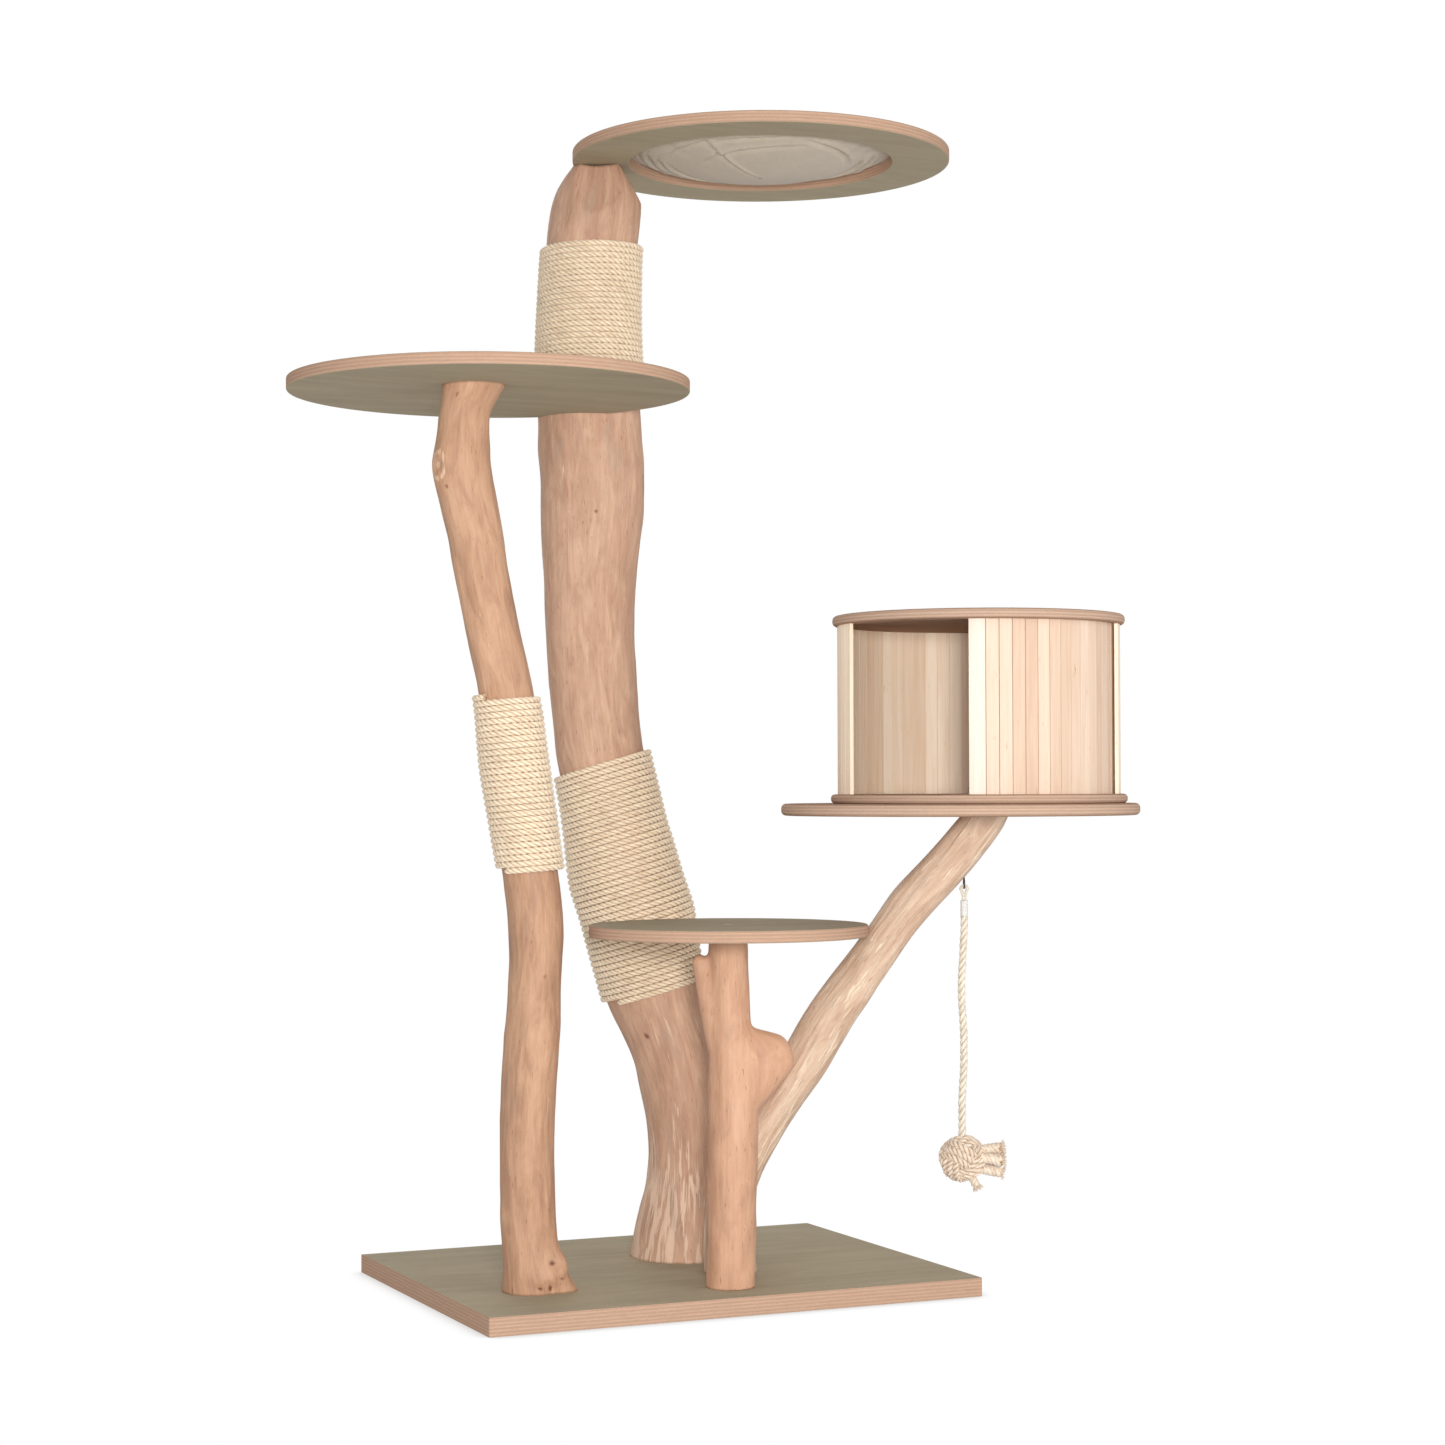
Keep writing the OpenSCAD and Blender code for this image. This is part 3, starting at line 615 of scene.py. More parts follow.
def streaks(seed, z, a, tall, wide):
    """Noise on a trunk in cells `tall` metres high, and `wide` of them around."""
    u = (z - z.min()) / tall
    v = (a % TAU) / TAU * wide
    rng = np.random.default_rng(seed)
    table = rng.uniform(-1, 1, (int(u.max()) + 4, wide))
    i, j = np.floor(u).astype(int), np.floor(v).astype(int) % wide
    fu, fv = u - np.floor(u), v - np.floor(v)
    fu, fv = fu * fu * (3 - 2 * fu), fv * fv * (3 - 2 * fv)
    j1 = (j + 1) % wide
    return ((table[i, j] * (1 - fv) + table[i, j1] * fv) * (1 - fu)
            + (table[i + 1, j] * (1 - fv) + table[i + 1, j1] * fv) * fu)


def trunk_grid(skin, seed, rough):
    """A fine grid over a trunk: heights, directions, and how far natural unevenness moves each point out."""
    row, sides = 3.5 * MM, 144
    z = np.linspace(skin.low, skin.high, int((skin.high - skin.low) / row))
    zz, aa = np.meshgrid(z, np.arange(sides) * TAU / sides, indexing="ij")
    wave = (1.6 * streaks(seed, zz, aa, 0.09, 7) + 0.8 * streaks(seed + 1, zz, aa, 0.05, 14)
            + 0.5 * streaks(seed + 2, zz, aa, 0.035, 34) + 0.22 * streaks(seed + 3, zz, aa, 0.02, 70))
    ends = np.minimum(1, np.minimum(zz - skin.low, skin.high - zz) / 0.02)
    return zz, aa, rough * wave * (0.4 + 0.6 * ends) * MM


def knot_distance(zz, aa, skin, z, direction, tall, wide):
    """How far a trunk's points are from a knot's middle, where 1 is half its height or half its width."""
    turn = (aa - math.radians(direction) + math.pi) % TAU - math.pi
    return np.sqrt(((zz - z) / tall) ** 2 + (turn * skin.radius(zz, aa) / wide) ** 2)


def knot_field(zz, aa, skin, knots):
    """Height and darkness of knots on a trunk. Each knot is its height, direction, half height, half width,
    swell and darkness."""
    lift, dark = np.zeros_like(zz), np.zeros_like(zz)
    for z, a, tall, wide, swell, depth in knots:
        d = knot_distance(zz, aa, skin, z, a, tall, wide)
        lift += swell * np.exp(-d * d) * (1 - 0.55 * np.exp(-(d * 3) ** 2))
        dark = np.maximum(dark, depth * np.exp(-(d * 1.35) ** 2))
    return lift, dark


def knot_rings(zz, aa, skin, z, direction, tall, wide):
    """Pale rings of grain round a healed branch."""
    d = knot_distance(zz, aa, skin, z, direction, tall, wide)
    return 0.42 * np.exp(-d * d) * (0.6 + 0.4 * np.cos(9 * d))


def flatten(points, planes):
    """Presses what lies beyond each (point, normal) plane onto it, like the cut of an axe."""
    for at, normal in planes:
        n = np.array(normal, float) / np.linalg.norm(normal)
        over = np.maximum((points - np.array(at)) @ n, 0)
        points = points - over[..., None] * n
    return points


def make_trunk(name, node, slot, skin, seed, knots=(), planes=(), cream=None, rough=1.0):
    zz, aa, wave = trunk_grid(skin, seed, rough)
    lift, dark = knot_field(zz, aa, skin, knots)
    points = skin.point(zz, aa, wave + lift)
    points = flatten(points, planes)
    points[..., 2] = np.clip(points[..., 2], skin.low, skin.high)
    grain = np.stack([np.sin(aa) * skin.mean, np.cos(aa) * skin.mean, skin.along(zz)], -1)
    pale = np.zeros_like(zz) if cream is None else cream(zz, aa)
    rows, sides = zz.shape
    return make_piece(name, points.reshape(-1, 3), close_ends(rows, sides), slot, "root", [node],
                      grain=grain.reshape(-1, 3), knot=dark.ravel(), cream=pale.ravel())


def step_down(z, high, low):
    """1 below low, 0 above high, smooth between."""
    t = np.clip((high - z) / (high - low), 0, 1)
    return t * t * (3 - 2 * t)


# height and direction of the thin trunk's healed branch
HEALED = (1.258, FACING - 47)


def scraped_foot(z, a):
    """Pale streaks at the main trunk's foot, mostly on its left side."""
    return (0.13 + 0.09 * np.cos(a - math.radians(FACING - 50))) * step_down(z, 0.36, 0.12)


def make_trunks():
    big_low, big_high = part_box("big_platform")
    step_low, step_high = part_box("step_platform")
    margin = 2 * MM
    main = Skin("main_trunk", [(big_low.z - margin, big_high.z + margin)])
    thin = Skin("thin_trunk")
    lean = Skin("leaning_trunk", [(step_low.z - margin, step_high.z + margin)], softer=3)
    top = main.centre(np.array([main.high]))[0]
    crown = np.array([top[0], top[1], main.high])
    # the bevels sawn round the top of the main trunk
    planes = [
        (crown - 0.040 * ACROSS - 0.006 * AWAY, -0.8 * ACROSS + 0.62 * UP),
        (crown + 0.034 * ACROSS, 0.85 * ACROSS + 0.50 * UP),
        (crown - 0.036 * AWAY, -0.9 * AWAY + 0.40 * UP),
        (crown + 0.036 * AWAY, 0.9 * AWAY + 0.45 * UP),
    ]
    make_trunk("main_trunk_wood", "main_trunk", "main_wood", main, 11, planes=planes, rough=1.1,
               knots=[(1.222, FACING + 8, 0.006, 0.004, 0.0, 1.0),
                      (0.385, FACING - 30, 0.009, 0.008, -0.001, 0.9),
                      (1.10, 40, 0.03, 0.022, 0.006, 0.8), (0.30, 120, 0.035, 0.03, 0.008, 0.7),
                      (0.95, 150, 0.014, 0.012, 0.002, 0.9)],
               cream=scraped_foot)
    make_trunk("thin_trunk_wood", "thin_trunk", "thin_wood", thin, 23, rough=1.0,
               knots=[(*HEALED, 0.034, 0.024, 0.012, 0.10),
                      (1.226, FACING - 33, 0.005, 0.004, -0.001, 1.0),
                      (0.50, FACING + 24, 0.009, 0.006, -0.001, 0.6),
                      (0.42, FACING + 60, 0.02, 0.014, 0.003, 0.3),
                      (1.36, FACING - 20, 0.008, 0.006, 0.001, 0.7), (0.8, 60, 0.02, 0.015, 0.005, 0.6),
                      # the burl: three swellings, then its hollows
                      (0.064, 302, 0.024, 0.024, 0.012, 0.08), (0.046, 270, 0.014, 0.017, 0.007, 0.12),
                      (0.068, 330, 0.018, 0.018, 0.009, 0.10), (0.074, 290, 0.006, 0.008, -0.005, 1.0),
                      (0.038, 256, 0.005, 0.006, -0.003, 0.9), (0.038, 276, 0.008, 0.006, -0.006, 1.0),
                      (0.058, 330, 0.007, 0.007, -0.004, 1.0), (0.050, 306, 0.005, 0.008, -0.003, 0.7)],
               cream=lambda z, a: knot_rings(z, a, thin, *HEALED, 0.030, 0.020))
    make_trunk("leaning_trunk_wood", "leaning_trunk", "leaning_wood", lean, 37, rough=1.0,
               knots=[(0.62, FACING - 60, 0.012, 0.012, 0.001, 0.2), (0.35, 20, 0.02, 0.016, 0.004, 0.7)],
               cream=lambda z, a: 0.03 + 0.06 * step_down(z, 0.55, 0.35))
    return main, thin


# the short trunk's line in plan, and its branch stubs' cut ends with their half width
SHORT_AXIS = np.array([0.0185, -0.2195])
STUB_ENDS = (((0.100, -0.256, 0.392), 0.014), ((-0.028, -0.199, 0.529), 0.009))


def make_short_trunk(seed=53):
    """The forked trunk's skin: its CAD shape, evened out and roughened."""
    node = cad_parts["short_trunk"]
    work = add_object("short_trunk_work", node.data.copy())
    remesh = work.modifiers.new("remesh", "REMESH")
    remesh.mode = "VOXEL"
    remesh.voxel_size = 2.6 * MM
    mesh = applied(work)
    points = np.array([v.co for v in mesh.vertices])
    edges = np.array([e.vertices[:] for e in mesh.edges])
    low, high = points[:, 2].min(), points[:, 2].max()
    for _ in range(14):
        total, count = np.zeros_like(points), np.zeros(len(points))
        for a, b in ((0, 1), (1, 0)):
            np.add.at(total, edges[:, a], points[edges[:, b]])
            np.add.at(count, edges[:, a], 1)
        moved = total / np.maximum(count, 1)[:, None]
        inside = ((points[:, 2] > low + 4 * MM) & (points[:, 2] < high - 4 * MM))[:, None]
        points = np.where(inside, moved, points)
    flat = points[:, :2] - SHORT_AXIS
    a = np.arctan2(flat[:, 1], flat[:, 0])
    out = np.column_stack([unit(flat), np.zeros(len(points))])
    z = points[:, 2]
    wave = 1.3 * streaks(seed, z, a, 0.07, 7) + 0.6 * streaks(seed + 1, z, a, 0.03, 20)
    ends = np.clip(np.minimum(z - low, high - z) / 0.02, 0, 1)
    points = points + out * (wave * ends * MM)[:, None]
    dark = np.zeros(len(points))
    for spot, size in STUB_ENDS:
        d = np.linalg.norm(points - np.array(spot), axis=1) / size
        dark = np.maximum(dark, 0.45 * np.exp(-d * d))
    faces = [tuple(p.vertices) for p in mesh.polygons]
    grain = np.column_stack([np.sin(a) * 0.036, np.cos(a) * 0.036, z])
    return make_piece("short_trunk_wood", points, faces, "short_wood", "root", ["short_trunk"], grain=grain,
                      knot=dark, cream=np.zeros(len(points)))


def applied(obj):
    """The object's mesh with its modifiers, and the object itself gone."""
    mesh = bpy.data.meshes.new_from_object(obj.evaluated_get(bpy.context.evaluated_depsgraph_get()))
    bpy.data.objects.remove(obj)
    return mesh


# ---------------- sisal

# the wound rope, how far its strands go for one turn, the direction in which a winding starts, and how
# closely its turns are pressed together
SISAL, SISAL_LAY, WRAP_START, TIGHTNESS = 10 * MM, 30 * MM, math.radians(200), 0.92


def wrap(name, node, skin, low, high, slope, direction, step=4.4 * MM):
    """Rope wound round a trunk from height low to high, its turns tilted by slope. step is the distance
    between its points."""
    pitch = SISAL * math.sqrt(1 + slope * slope) * TIGHTNESS
    half = SISAL / 2
    turns = (high - low - SISAL) / pitch
    t = np.linspace(0, turns, int(turns * TAU * (skin.mean + half) / step))
    a = t * TAU + WRAP_START
    z = low + half + t * pitch
    for _ in range(3):
        radius = skin.radius(z, a) + half
        z = low + half + t * pitch + slope * radius * np.cos(a - math.radians(direction))
    path = skin.point(z, a, half + 0.7 * MM)
    parts = twisted(path, SISAL, SISAL_LAY, 6, outward=polar((0, 0), 1, a, 0.0), thick=0.284, twist=150)
    return joined_piece(name, node, "sisal", "root", parts)


# ---------------- house

HOUSE = np.array([0.366, -0.366])
WALL_Z, SLAT_H = 0.7654, 0.2642
SLAT_T, SLAT_STEP = 5 * MM, 5.5
WALL_R, WALL_START, WALL_SLATS = 0.2135, 318, 40
DOOR_R, DOOR_START, DOOR_SLATS, LEAD = 0.2045, 237, 26, 7


def slat_box(r, angle, step):
    """Points of one slat with bevelled outer edges, as rows of six, and the six in its own plan."""
    gap, bevel = 0.25 * MM, 0.35 * MM
    half = (r - SLAT_T) * math.tan(math.radians(step / 2)) - gap / 2
    profile = [(r - SLAT_T, -half), (r - bevel, -half), (r, -half + bevel), (r, half - bevel),
               (r - bevel, half), (r - SLAT_T, half)]
    c, s = math.cos(math.radians(angle)), math.sin(math.radians(angle))
    ring = [(HOUSE[0] + x * c - y * s, HOUSE[1] + x * s + y * c) for x, y in profile]
    rows = np.linspace(WALL_Z, WALL_Z + SLAT_H, 12)
    return np.array([[(x, y, z) for x, y in ring] for z in rows]), profile


def strips(name, node, slot, body, made, turned=False):
    """One piece of many closed strips. Each is its rows of points, its tone and its points' grain, and
    turned says that its rows run the other way round."""
    points, faces, tone, grain, base = [], [], [], [], 0
    for rows, shade, marks in made:
        for face in close_ends(*rows.shape[:2]):
            faces.append([base + k for k in (face[::-1] if turned else face)])
        points.append(rows.reshape(-1, 3))
        tone.append(np.full(len(points[-1]), shade))
        grain.append(marks)
        base += len(points[-1])
    return make_piece(name, np.vstack(points), faces, slot, body, [node], flat=True,
                      tone=np.concatenate(tone), grain=np.vstack(grain))


def slats(name, node, slot, body, r, first, count, step, seed):
    rng = np.random.default_rng(seed)
    made = []
    for i in range(count):
        rows, profile = slat_box(r, first + (i + 0.5) * step, step)
        shade, shift = rng.random(), rng.uniform(0, 5)
        across = np.tile([[y + shift, x] for x, y in profile], (rows.shape[0], 1))
        made.append((rows, shade, np.column_stack([across, rows.reshape(-1, 3)[:, 2] + shift * 3])))
    strips(name, node, slot, body, made)


def wall_lining(seed=6):
    """The fixed wall's inner face: thin wood strips, one behind each slat and in its own tone."""
    rng = np.random.default_rng(seed)
    inner, outer = WALL_R - SLAT_T - 0.5 * MM, WALL_R - SLAT_T - 0.1 * MM
    margin = 0.12
    made = []
    for i in range(WALL_SLATS):
        a0 = math.radians(WALL_START + i * SLAT_STEP + margin)
        a1 = math.radians(WALL_START + (i + 1) * SLAT_STEP - margin)
        shift, shade = rng.uniform(0, 5), rng.random()
        ring = ((inner, a0), (inner, (a0 + a1) / 2), (inner, a1), (outer, a1), (outer, a0))
        heights = np.linspace(WALL_Z, WALL_Z + SLAT_H, 6)
        plan = [(HOUSE[0] + r * math.cos(a), HOUSE[1] + r * math.sin(a)) for r, a in ring]
        grain = [(r * (a - a0) + shift, r, z + shift * 3) for z in heights for r, a in ring]
        made.append((np.array([[(x, y, z) for x, y in plan] for z in heights]), shade, grain))
    strips("wall_lining", "house_wall_backing", "wall_slats", "root", made, turned=True)


def door_cloth():
    """The cloth glued behind the door's slats: one thin curved sheet."""
    inner, outer = DOOR_R - SLAT_T - 0.5 * MM, DOOR_R - SLAT_T - 0.1 * MM
    angle = math.radians(LEAD + DOOR_SLATS * SLAT_STEP)
    columns, rows = 91, 12
    turn, height = np.meshgrid(np.linspace(0, angle, columns), np.linspace(0, SLAT_H, rows), indexing="ij")
    a = math.radians(DOOR_START) + turn
    radius = np.repeat([inner, outer], rows)
    k = np.concatenate([np.arange(rows), np.arange(rows)[::-1]])
    points = polar(HOUSE, radius, a[:, k], WALL_Z + height[:, k]).reshape(-1, 3)
    grain = np.stack([turn[:, k] * inner, height[:, k], np.zeros((columns, 2 * rows))], -1).reshape(-1, 3)
    cloth = make_piece("door_lining", points, close_ends(columns, 2 * rows), "slat_backing", "door",
                       ["door_backing"], grain=grain)


def make_house():
    slats("wall_slat_boards", "house_wall_slats", "wall_slats", "root",
          WALL_R, WALL_START, WALL_SLATS, SLAT_STEP, 5)
    wall_lining()
    slats("door_slat_boards", "door_slats", "door_slats", "door",
          DOOR_R, DOOR_START + LEAD, DOOR_SLATS, SLAT_STEP, 7)
    slats("door_edge_board", "door_lead_slat", "lead_slat", "door", DOOR_R, DOOR_START, 1, LEAD, 8)
    door_cloth()


# ---------------- hammock

RING_C, RING_TOP, RING_HOLE = np.array([0.180, 0.012]), 1.806, 0.212
CLOTH_EDGE, CLOTH_SAG, CLOTH_T = 0.238, 42 * MM, 1.2 * MM
# points around the cloth and its hem, stitches in each of the hem's two seams, and half the thread
CLOTH_SIDES, STITCHES, STITCH_R = 240, 180, 0.35 * MM


def wheel(rings, sides):
    """Faces of a disc of points: a centre point, then rings of `sides` points."""
    faces = [[0, 1 + k, 1 + (k + 1) % sides] for k in range(sides)]
    return faces + (grid(rings, sides) + 1).tolist()


# long folds in the cloth: radius, middle direction, half span, drift outwards over the span, width, depth
FOLDS = [
    (194, 126, 46, 6, 5, 3.2), (177, 132, 44, 10, 6, 3.2), (157, 136, 40, 14, 6, 2.8),
    (134, 130, 38, 20, 7, 2.4), (194, 10, 42, -6, 5, 3.2), (175, 4, 40, -10, 6, 3.0),
    (152, -4, 36, -16, 7, 2.6), (172, 250, 42, 12, 7, 2.2), (152, 300, 40, -18, 8, 2.0),
    (168, 206, 36, 14, 7, 2.2), (128, 230, 52, 24, 10, 1.6)]
# a pulled straight crease: its two ends, width and depth
CREASE = ((-0.159, -0.110), (-0.007, 0.003), 4.5 * MM, 5 * MM)
FOLD_DEPTH, FOLD_WIDTH, PUCKERS = 2.8, 0.62, 30


def cloth_height(x, y, seed=71):
    """Height of the sagging cloth over its ring, with its long folds and the puckers in from the rim."""
    rng = np.random.default_rng(seed)
    r, a = np.hypot(x, y), np.arctan2(y, x)
    t = np.clip(r / (RING_HOLE - 3 * MM), 0, 1)
    z = -CLOTH_SAG * 0.97 * (1 - t * t)
    inside = np.clip((RING_HOLE - 4 * MM - r) / 0.025, 0, 1)
    for radius, middle, span, drift, width, depth in FOLDS:
        turn = ((a - math.radians(middle) + math.pi) % TAU - math.pi) / math.radians(span)
        u = (r - (radius + drift * turn) * MM) / (FOLD_WIDTH * width * MM)
        fade = np.clip(1 - turn * turn, 0, 1) ** 1.5
        z += FOLD_DEPTH * depth * MM * fade * (np.exp(-u * u) - 0.55 * np.exp(-((u - 1.7) ** 2))) * inside
    (x0, y0), (x1, y1), width, depth = CREASE
    run = math.hypot(x1 - x0, y1 - y0)
    down = ((x - x0) * (x1 - x0) + (y - y0) * (y1 - y0)) / run ** 2
    off = ((x - x0) * (y1 - y0) - (y - y0) * (x1 - x0)) / run / width
    fade = np.clip(4 * down * (1 - down), 0, 1)
    z += depth * (np.exp(-off * off) - 0.6 * np.exp(-((off - 1.6) ** 2))) * fade * inside
    for _ in range(PUCKERS):
        at, width = rng.uniform(0, TAU), rng.uniform(0.04, 0.09)
        reach, depth, bend = rng.uniform(0.15, 0.45), rng.uniform(0.5, 1.5), rng.uniform(-0.9, 0.9)
        turn = (a - at - bend * (1 - t) + math.pi) % TAU - math.pi
        z += depth * MM * np.exp(-((turn / width) ** 2)) * np.exp(-(((1 - t) / reach) ** 2)) * inside
    return z


def make_hammock():
    sides = CLOTH_SIDES
    radii = np.concatenate([np.linspace(0, RING_HOLE, 72)[1:], np.linspace(RING_HOLE, CLOTH_EDGE, 10)[1:]])
    aa, rr = np.meshgrid(np.arange(sides) * TAU / sides, radii)
    x, y = np.concatenate([[0], (rr * np.cos(aa)).ravel()]), np.concatenate([[0], (rr * np.sin(aa)).ravel()])
    z = cloth_height(x, y)
    r = np.hypot(x, y)
    pucker = streaks(81, np.linspace(0, 0.001, len(x)), np.arctan2(y, x), 1.0, 60)
    z = np.where(r > RING_HOLE, 0.35 * MM * (1 + pucker) * np.clip((r - RING_HOLE) / 0.01, 0, 1), z)
    rows = len(radii)
    top = np.column_stack([RING_C[0] + x, RING_C[1] + y, RING_TOP + 0.1 * MM + CLOTH_T + z])
    under = top - [0, 0, CLOTH_T]
    faces = wheel(rows, sides)
    n = len(top)
    rim = [n - sides + k for k in range(sides)]
    faces += [[n + i for i in f][::-1] for f in wheel(rows, sides)]
    faces += [[rim[k], n + rim[k], n + rim[(k + 1) % sides], rim[(k + 1) % sides]] for k in range(sides)]
    grain = np.column_stack([x, y, np.zeros_like(x)])
    cloth = make_piece("hammock_canvas", np.vstack([top, under]), faces, "hammock_cloth", "root",
                       ["hammock_cloth"], grain=np.vstack([grain, grain]))
    hem_piece = make_hem()


def make_hem():
    sides = CLOTH_SIDES
    a = np.arange(sides) * TAU / sides
    low = RING_TOP + 0.2 * MM + CLOTH_T
    profile = [(CLOTH_EDGE - inset * MM, up) for inset, up in
               ((14, 0.1), (13.4, 0.9), (9, 1.35), (4, 1.25), (0.6, 1.0), (0, 0.6), (0.5, 0.05))]
    wave = streaks(91, np.linspace(0, 0.001, sides), a, 1.0, 80) * 0.35 * MM
    rows = np.array([[(RING_C[0] + (r + w) * math.cos(t), RING_C[1] + (r + w) * math.sin(t), low + h * MM)
                      for r, h in profile] for t, w in zip(a, wave)])
    grain = np.array([[(r * math.cos(t), r * math.sin(t), 0) for r, _ in profile] for t in a])
    hem = (rows.reshape(-1, 3), grid(sides, len(profile), closed_rows=True), grain.reshape(-1, 3))
    arch = np.array([0.9, 1.5, 1.5, 0.9]) * MM
    stitches = []
    for line in (CLOTH_EDGE - 11.5 * MM, CLOTH_EDGE - 2.5 * MM):
        for k in range(STITCHES):
            t = np.linspace(k * TAU / STITCHES, (k + 0.62) * TAU / STITCHES, 4)
            stitches.append(tube(polar(RING_C, line, t, low + arch), STITCH_R, 5))
    return joined_piece("hammock_hem_band", "hammock_hem", "hammock_hem", "root", [hem] + stitches)


# ---------------- toy

EYE = np.array([0.345, -0.357])
SLEEVE_END, SLEEVE_TOP, SOCKET_Z = 0.585, 0.60915, 0.61215
LOOP_W, LOOP_H = 10 * MM, 19 * MM
BALL, BALL_R = np.array([0.341, -0.355, 0.219]), 36 * MM
ROPE_D = 12 * MM
# the hanging rope's line: how far it strays, in mm, at the sleeve, every 20 mm down, and at the ball
SWAY = (5, 5, 4, 3, 2, 1, 1, 2, 3, 4, 4, 4, 3, 2, 1, 1, 1, 1)
BALL_END = 0.252
ROUTE = [(round(0.340 + n * MM, 3), round(-0.355 - (n - 1) // 2 * MM, 3),
          round(max(SLEEVE_END - 0.020 * k, BALL_END), 3)) for k, n in enumerate(SWAY)]


def knot_bands():
    """The ball: three bands of rope loops, each over one neighbour and under the other."""
    parts = []
    rope, loops = 11.5 * MM, 3
    t = np.arange(96) * TAU / 96
    tilt = Matrix.Rotation(math.radians(28), 3, "Y") @ Matrix.Rotation(math.radians(18), 3, "X")
    turn = np.array(Matrix.Rotation(math.radians(35), 3, "Z") @ tilt)
    axes = [np.array(v, float) for v in ((1, 0, 0), (0, 1, 0), (0, 0, 1))]
    for band in range(3):
        u, v, w = axes[band], axes[(band + 1) % 3], axes[(band + 2) % 3]
        for k in range(loops):
            d = (k - (loops - 1) / 2) * rope * 0.86
            reach = BALL_R + MM - rope / 2 - 1.8 * MM + 1.8 * MM * np.cos(2 * t)
            r = np.sqrt(np.maximum(reach ** 2 - d * d, 1e-6))
            path = r[:, None] * (np.cos(t)[:, None] * u + np.sin(t)[:, None] * v) + d * w
            path = BALL + path @ turn.T
            parts += twisted(path, rope, 24 * MM, 6, closed=True, number=band * loops + k)
    # rope wound on the core, seen between the bands
    t = np.linspace(0, 1, 260)
    down, spin, core = math.pi * (0.06 + 0.88 * t), TAU * 5 * t, BALL_R - 13 * MM
    path = core * polar((0, 0), np.sin(down), spin, np.cos(down))
    parts += twisted(BALL + path @ turn.T, rope, 24 * MM, 6, number=9)
    return parts


def frayed(rng, start, heading, length, spread, count, thick):
    """Loose yarns that leave start along heading and fan out: a list of (points, faces, grain)."""
    side = unit(np.cross(heading, UP + 0.01))
    other = np.cross(heading, side)
    parts = []
    for k in range(count):
        a, reach = rng.uniform(0, TAU), math.sqrt(rng.random())
        out = (math.cos(a) * side + math.sin(a) * other) * reach
        size = length * rng.uniform(0.72, 1.0)
        t = np.linspace(0, 1, 9)[:, None]
        curl = rng.normal(0, 0.06, 3) * size
        waves = np.sin(t * rng.uniform(5, 11) + rng.uniform(0, 6))
        waves = waves * unit(rng.normal(size=3)) * rng.uniform(0.4, 1.5) * MM
        fan = out * spread * (0.35 + 0.2 * t + 0.62 * t ** 2)
        path = start + heading * size * t + fan + curl * t ** 2 + waves * t
        parts.append(tube(path, np.linspace(thick, thick * 0.6, 9), 5, strand=k))
    return parts


def rope_end(start, heading, length, diameter, bend, number):
    """A short stub of twisted rope that curves away."""
    t = np.linspace(0, 1, 12)[:, None]
    path = start + heading * length * t + bend * t ** 2
    return twisted(path, diameter, 20 * MM, 6, number=number)


def make_toy():
    route = smooth_path(ROUTE, 3.5 * MM)
    parts = twisted(route, ROPE_D, 34 * MM, 10)
    rope = joined_piece("toy_rope_strands", "toy_rope", "toy_rope", "toy", parts)
    knot = joined_piece("toy_fist_knot", "toy_knot", "toy_rope", "toy", knot_bands(), "toy_ball")

    rng = np.random.default_rng(17)
    root = BALL + ACROSS * 26 * MM - UP * 2 * MM
    parts = []
    bunches = ((0.95, 0.0), (0.05, 0.5), (-0.9, -0.15), (0.3, -0.75), (-0.35, 0.8))
    for k, (lift, back) in enumerate(bunches):
        fan = UP * lift + AWAY * back
        heading = unit(ACROSS + 0.20 * fan)
        start = root + fan * 14 * MM
        curl = np.cross(ACROSS, fan) * 9 * MM
        parts += rope_end(start, heading, 32 * MM, 18 * MM, curl, 40 + k)
        parts += frayed(rng, start + heading * 29 * MM + curl * 0.8, heading, 10 * MM, 9 * MM, 70, 0.95 * MM)
    tassel = joined_piece("toy_tassel_yarns", "toy_tassel", "toy_rope", "toy", parts, "toy_ball")

    tilt = math.radians(153)
    heading = ACROSS * math.sin(tilt) + UP * math.cos(tilt)
    tail_root = BALL + heading * 31 * MM
    parts = rope_end(tail_root, heading, 14 * MM, 13 * MM, AWAY * 1 * MM, 60)
    parts += frayed(rng, tail_root + heading * 9 * MM, heading, 14 * MM, 8 * MM, 60, 0.8 * MM)
    tail = joined_piece("toy_tail_yarns", "toy_tail", "toy_rope", "toy", parts, "toy_ball")

    sleeve = make_sleeve()
    ring = make_loop()


def make_loop():
    """The rope's eye: a thin rope bent in a teardrop through the screw eye, with its end in the sleeve."""
    half = LOOP_W / 2
    arch = [(half * math.cos(a), LOOP_H - half + half * math.sin(a)) for a in np.linspace(0, math.pi, 24)]
    left = [(-half * (1 - t), (LOOP_H - half) * (1 - t)) for t in np.linspace(0.08, 0.94, 16)]
    right = [(half * t, (LOOP_H - half) * t) for t in np.linspace(0.06, 0.92, 16)]
    tip = np.array([EYE[0], EYE[1], SOCKET_Z])
    path = np.array([tip + ACROSS * x + UP * z for x, z in arch + left + right])
    parts = twisted(path, 5 * MM, 11 * MM, 8, closed=True, number=70)
    # the round knot that sits in the sleeve's socket
    rise = np.linspace(-3.6, 3.6, 9)
    radius = np.sqrt(np.maximum(3.9 ** 2 - rise ** 2, 0.5)) * MM
    parts.append(tube(tip + np.outer(rise * MM, UP), radius, 16, strand=75))
    return joined_piece("toy_rope_eye", "toy_loop", "toy_rope", "loop", parts)


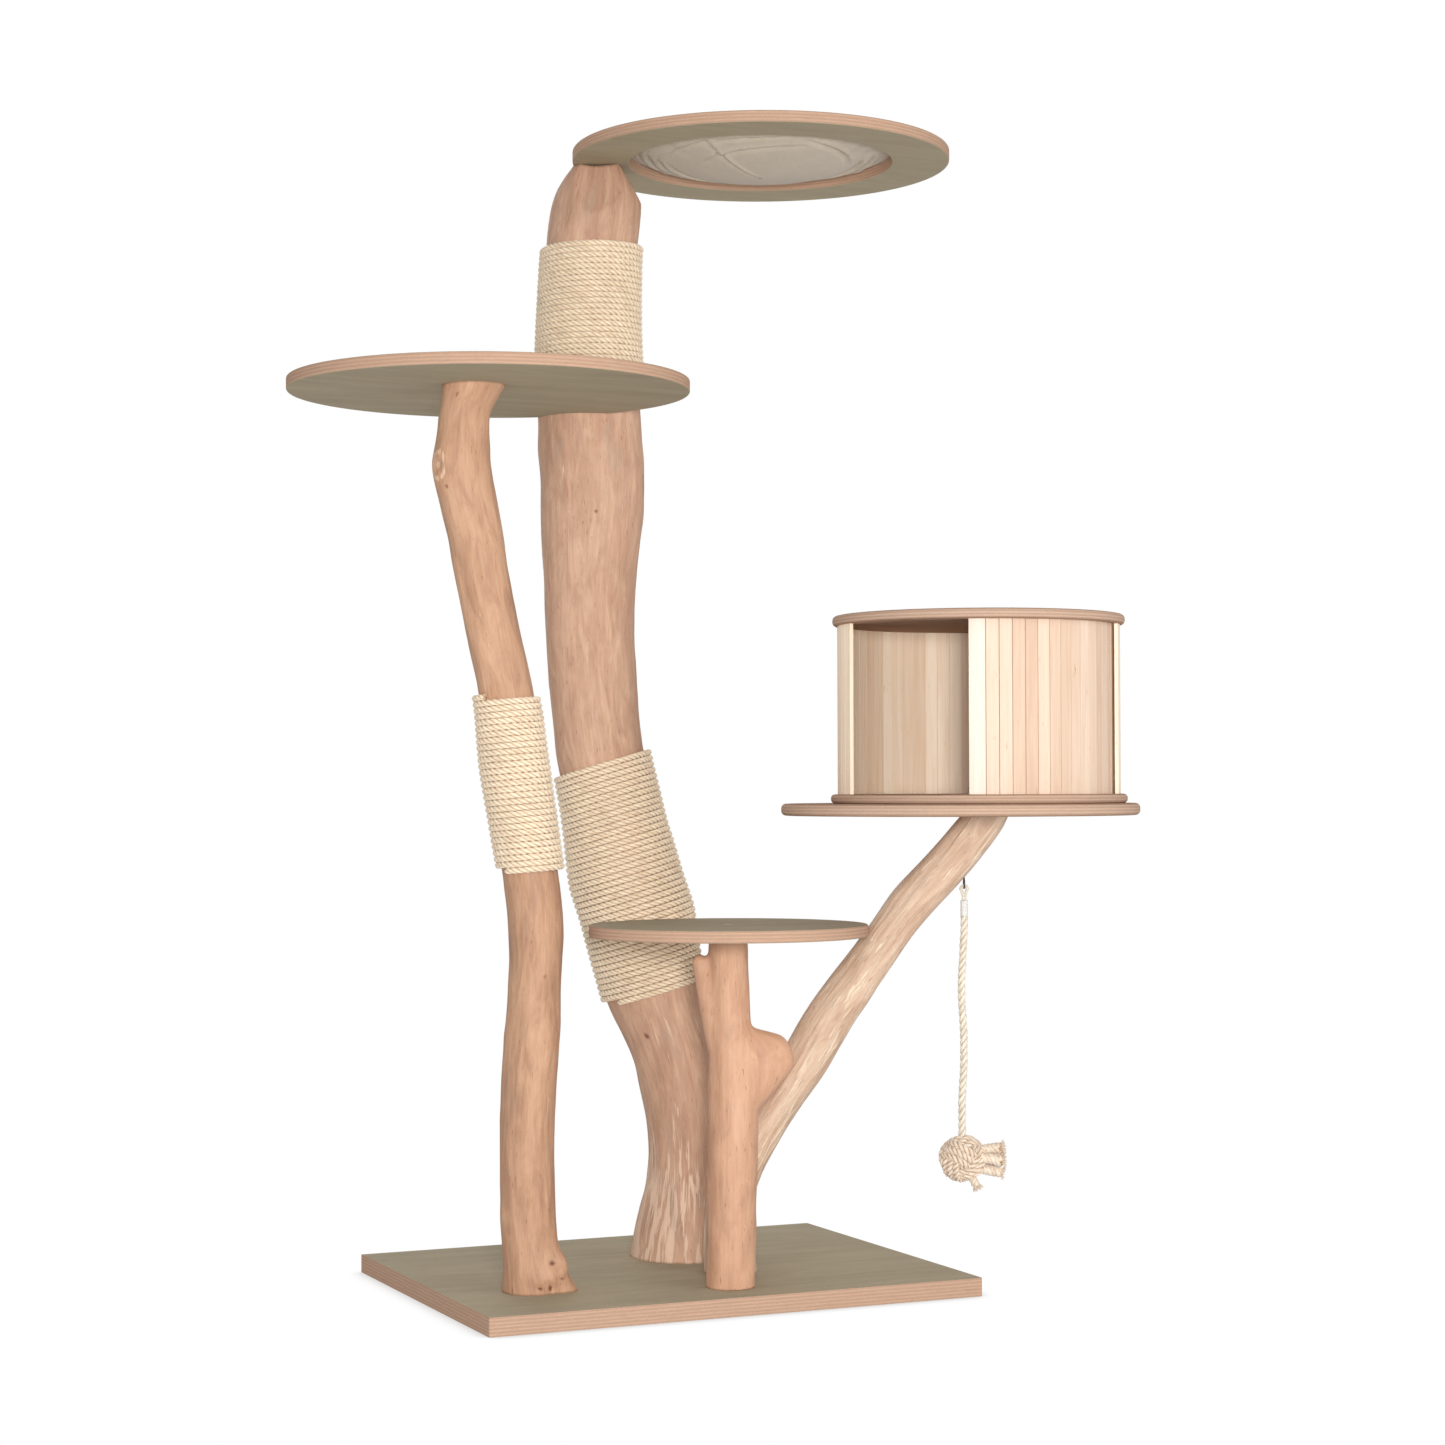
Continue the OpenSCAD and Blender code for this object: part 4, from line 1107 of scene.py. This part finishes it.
def make_sleeve():
    """Tape wound round the rope's doubled end, hollowed at its top for the eye's knot."""
    sides, rows = 32, 26
    z = np.linspace(0, 1, rows)
    a = np.arange(sides) * TAU / sides
    heights = SLEEVE_END + z * (SLEEVE_TOP - SLEEVE_END)
    zz, aa = np.meshgrid(heights, a, indexing="ij")
    lap = ((zz - SLEEVE_END) / (6 * MM) + aa / TAU) % 1.0
    radius = 5.4 * MM + 0.45 * MM * lap + 0.12 * MM * np.cos(3 * aa)
    ends = np.minimum(zz - SLEEVE_END, SLEEVE_TOP - zz) / (1.2 * MM)
    radius -= 0.5 * MM * np.clip(1 - ends, 0, 1) ** 2
    outer = polar(EYE, radius, aa, zz)
    bowl = []
    for depth in np.linspace(0, 1, 6)[1:]:
        # the socket's round hollow
        reach = 4.4 * MM * math.sqrt(max(1 - depth, 0.0)) + 0.05 * MM
        bowl.append(polar(EYE, reach, a, SLEEVE_TOP - depth * 2.0 * MM))
    points = np.vstack([outer.reshape(-1, 3), np.array(bowl).reshape(-1, 3)])
    total = rows + len(bowl)
    faces = close_ends(total, sides)
    grain = np.column_stack([np.tile(a * 0.006, total), points[:, 2], np.zeros(len(points))])
    return make_piece("toy_tape_sleeve", points, faces, "toy_tape", "toy", ["toy_sleeve"], grain=grain)


# ---------------- surroundings

def make_floor():
    """A white floor that meets the white surround, with only a soft painted shadow where the base stands."""
    mesh = bpy.data.meshes.new("floor")
    size = 30
    corners = [(-size, -size, 0), (size, -size, 0), (size, size, 0), (-size, size, 0)]
    mesh.from_pydata(corners, [], [(0, 1, 2, 3)])
    floor = add_object("floor", mesh)
    floor.location.z = -0.4 * MM
    s = Shader("floor", 1.0)
    openness_for_painted_shadow = s.add("AmbientOcclusion", {"Distance": 0.05}, "AO")
    s.tree.nodes["Ambient Occlusion"].samples = 8
    # painted shadow: the floor's colour turns grey where things stand close above it, as a contact shadow
    white = s.ramp(openness_for_painted_shadow, (0.35, rgb(205, 200, 196)), (0.85, (1, 1, 1, 1)))
    seen = s.add("LightPath", {}, "Is Camera Ray")
    strength = s.add("MapRange", {"Value": seen, "To Min": FLOOR_GLOW, "To Max": 1.0})
    emission = s.add("Emission", {"Color": white, "Strength": strength})
    s.tree.links.new(emission, s.tree.nodes["Material Output"].inputs["Surface"])
    mesh.materials.append(s.material)


# the CAD nodes that stay as they are, under their slot's material
CAD_LOOKS = {
    "plywood": ("base_plate", "big_platform", "step_platform", "hammock_ring"),
    "house_plywood": ("house_platform", "house_floor", "house_roof"),
    "plug_wood": ("wood_plugs",),
    "screw_steel": ("base_screws", "big_platform_screws", "step_platform_screws", "hammock_ring_screws",
                    "house_platform_screws", "house_floor_screws", "hammock_staples"),
    "eye_steel": ("screw_eye",),
}

make_camera()
make_light()
make_toy()
main_skin, thin_skin = make_trunks()
make_short_trunk()
wrap("main_lower_rope", "main_lower_sisal", main_skin, 0.448, 0.824, 0.26, RIGHT)
wrap("main_upper_rope", "main_upper_sisal", main_skin, 1.3975, 1.660, 0.0, 0)
wrap("thin_rope", "thin_trunk_sisal", thin_skin, 0.654, 0.922, 0.04, RIGHT, step=4.0 * MM)
make_house()
make_hammock()
make_floor()
for slot, kept in CAD_LOOKS.items():
    for node in kept:
        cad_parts[node].data.materials.clear()
        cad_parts[node].data.materials.append(MATERIALS[slot])
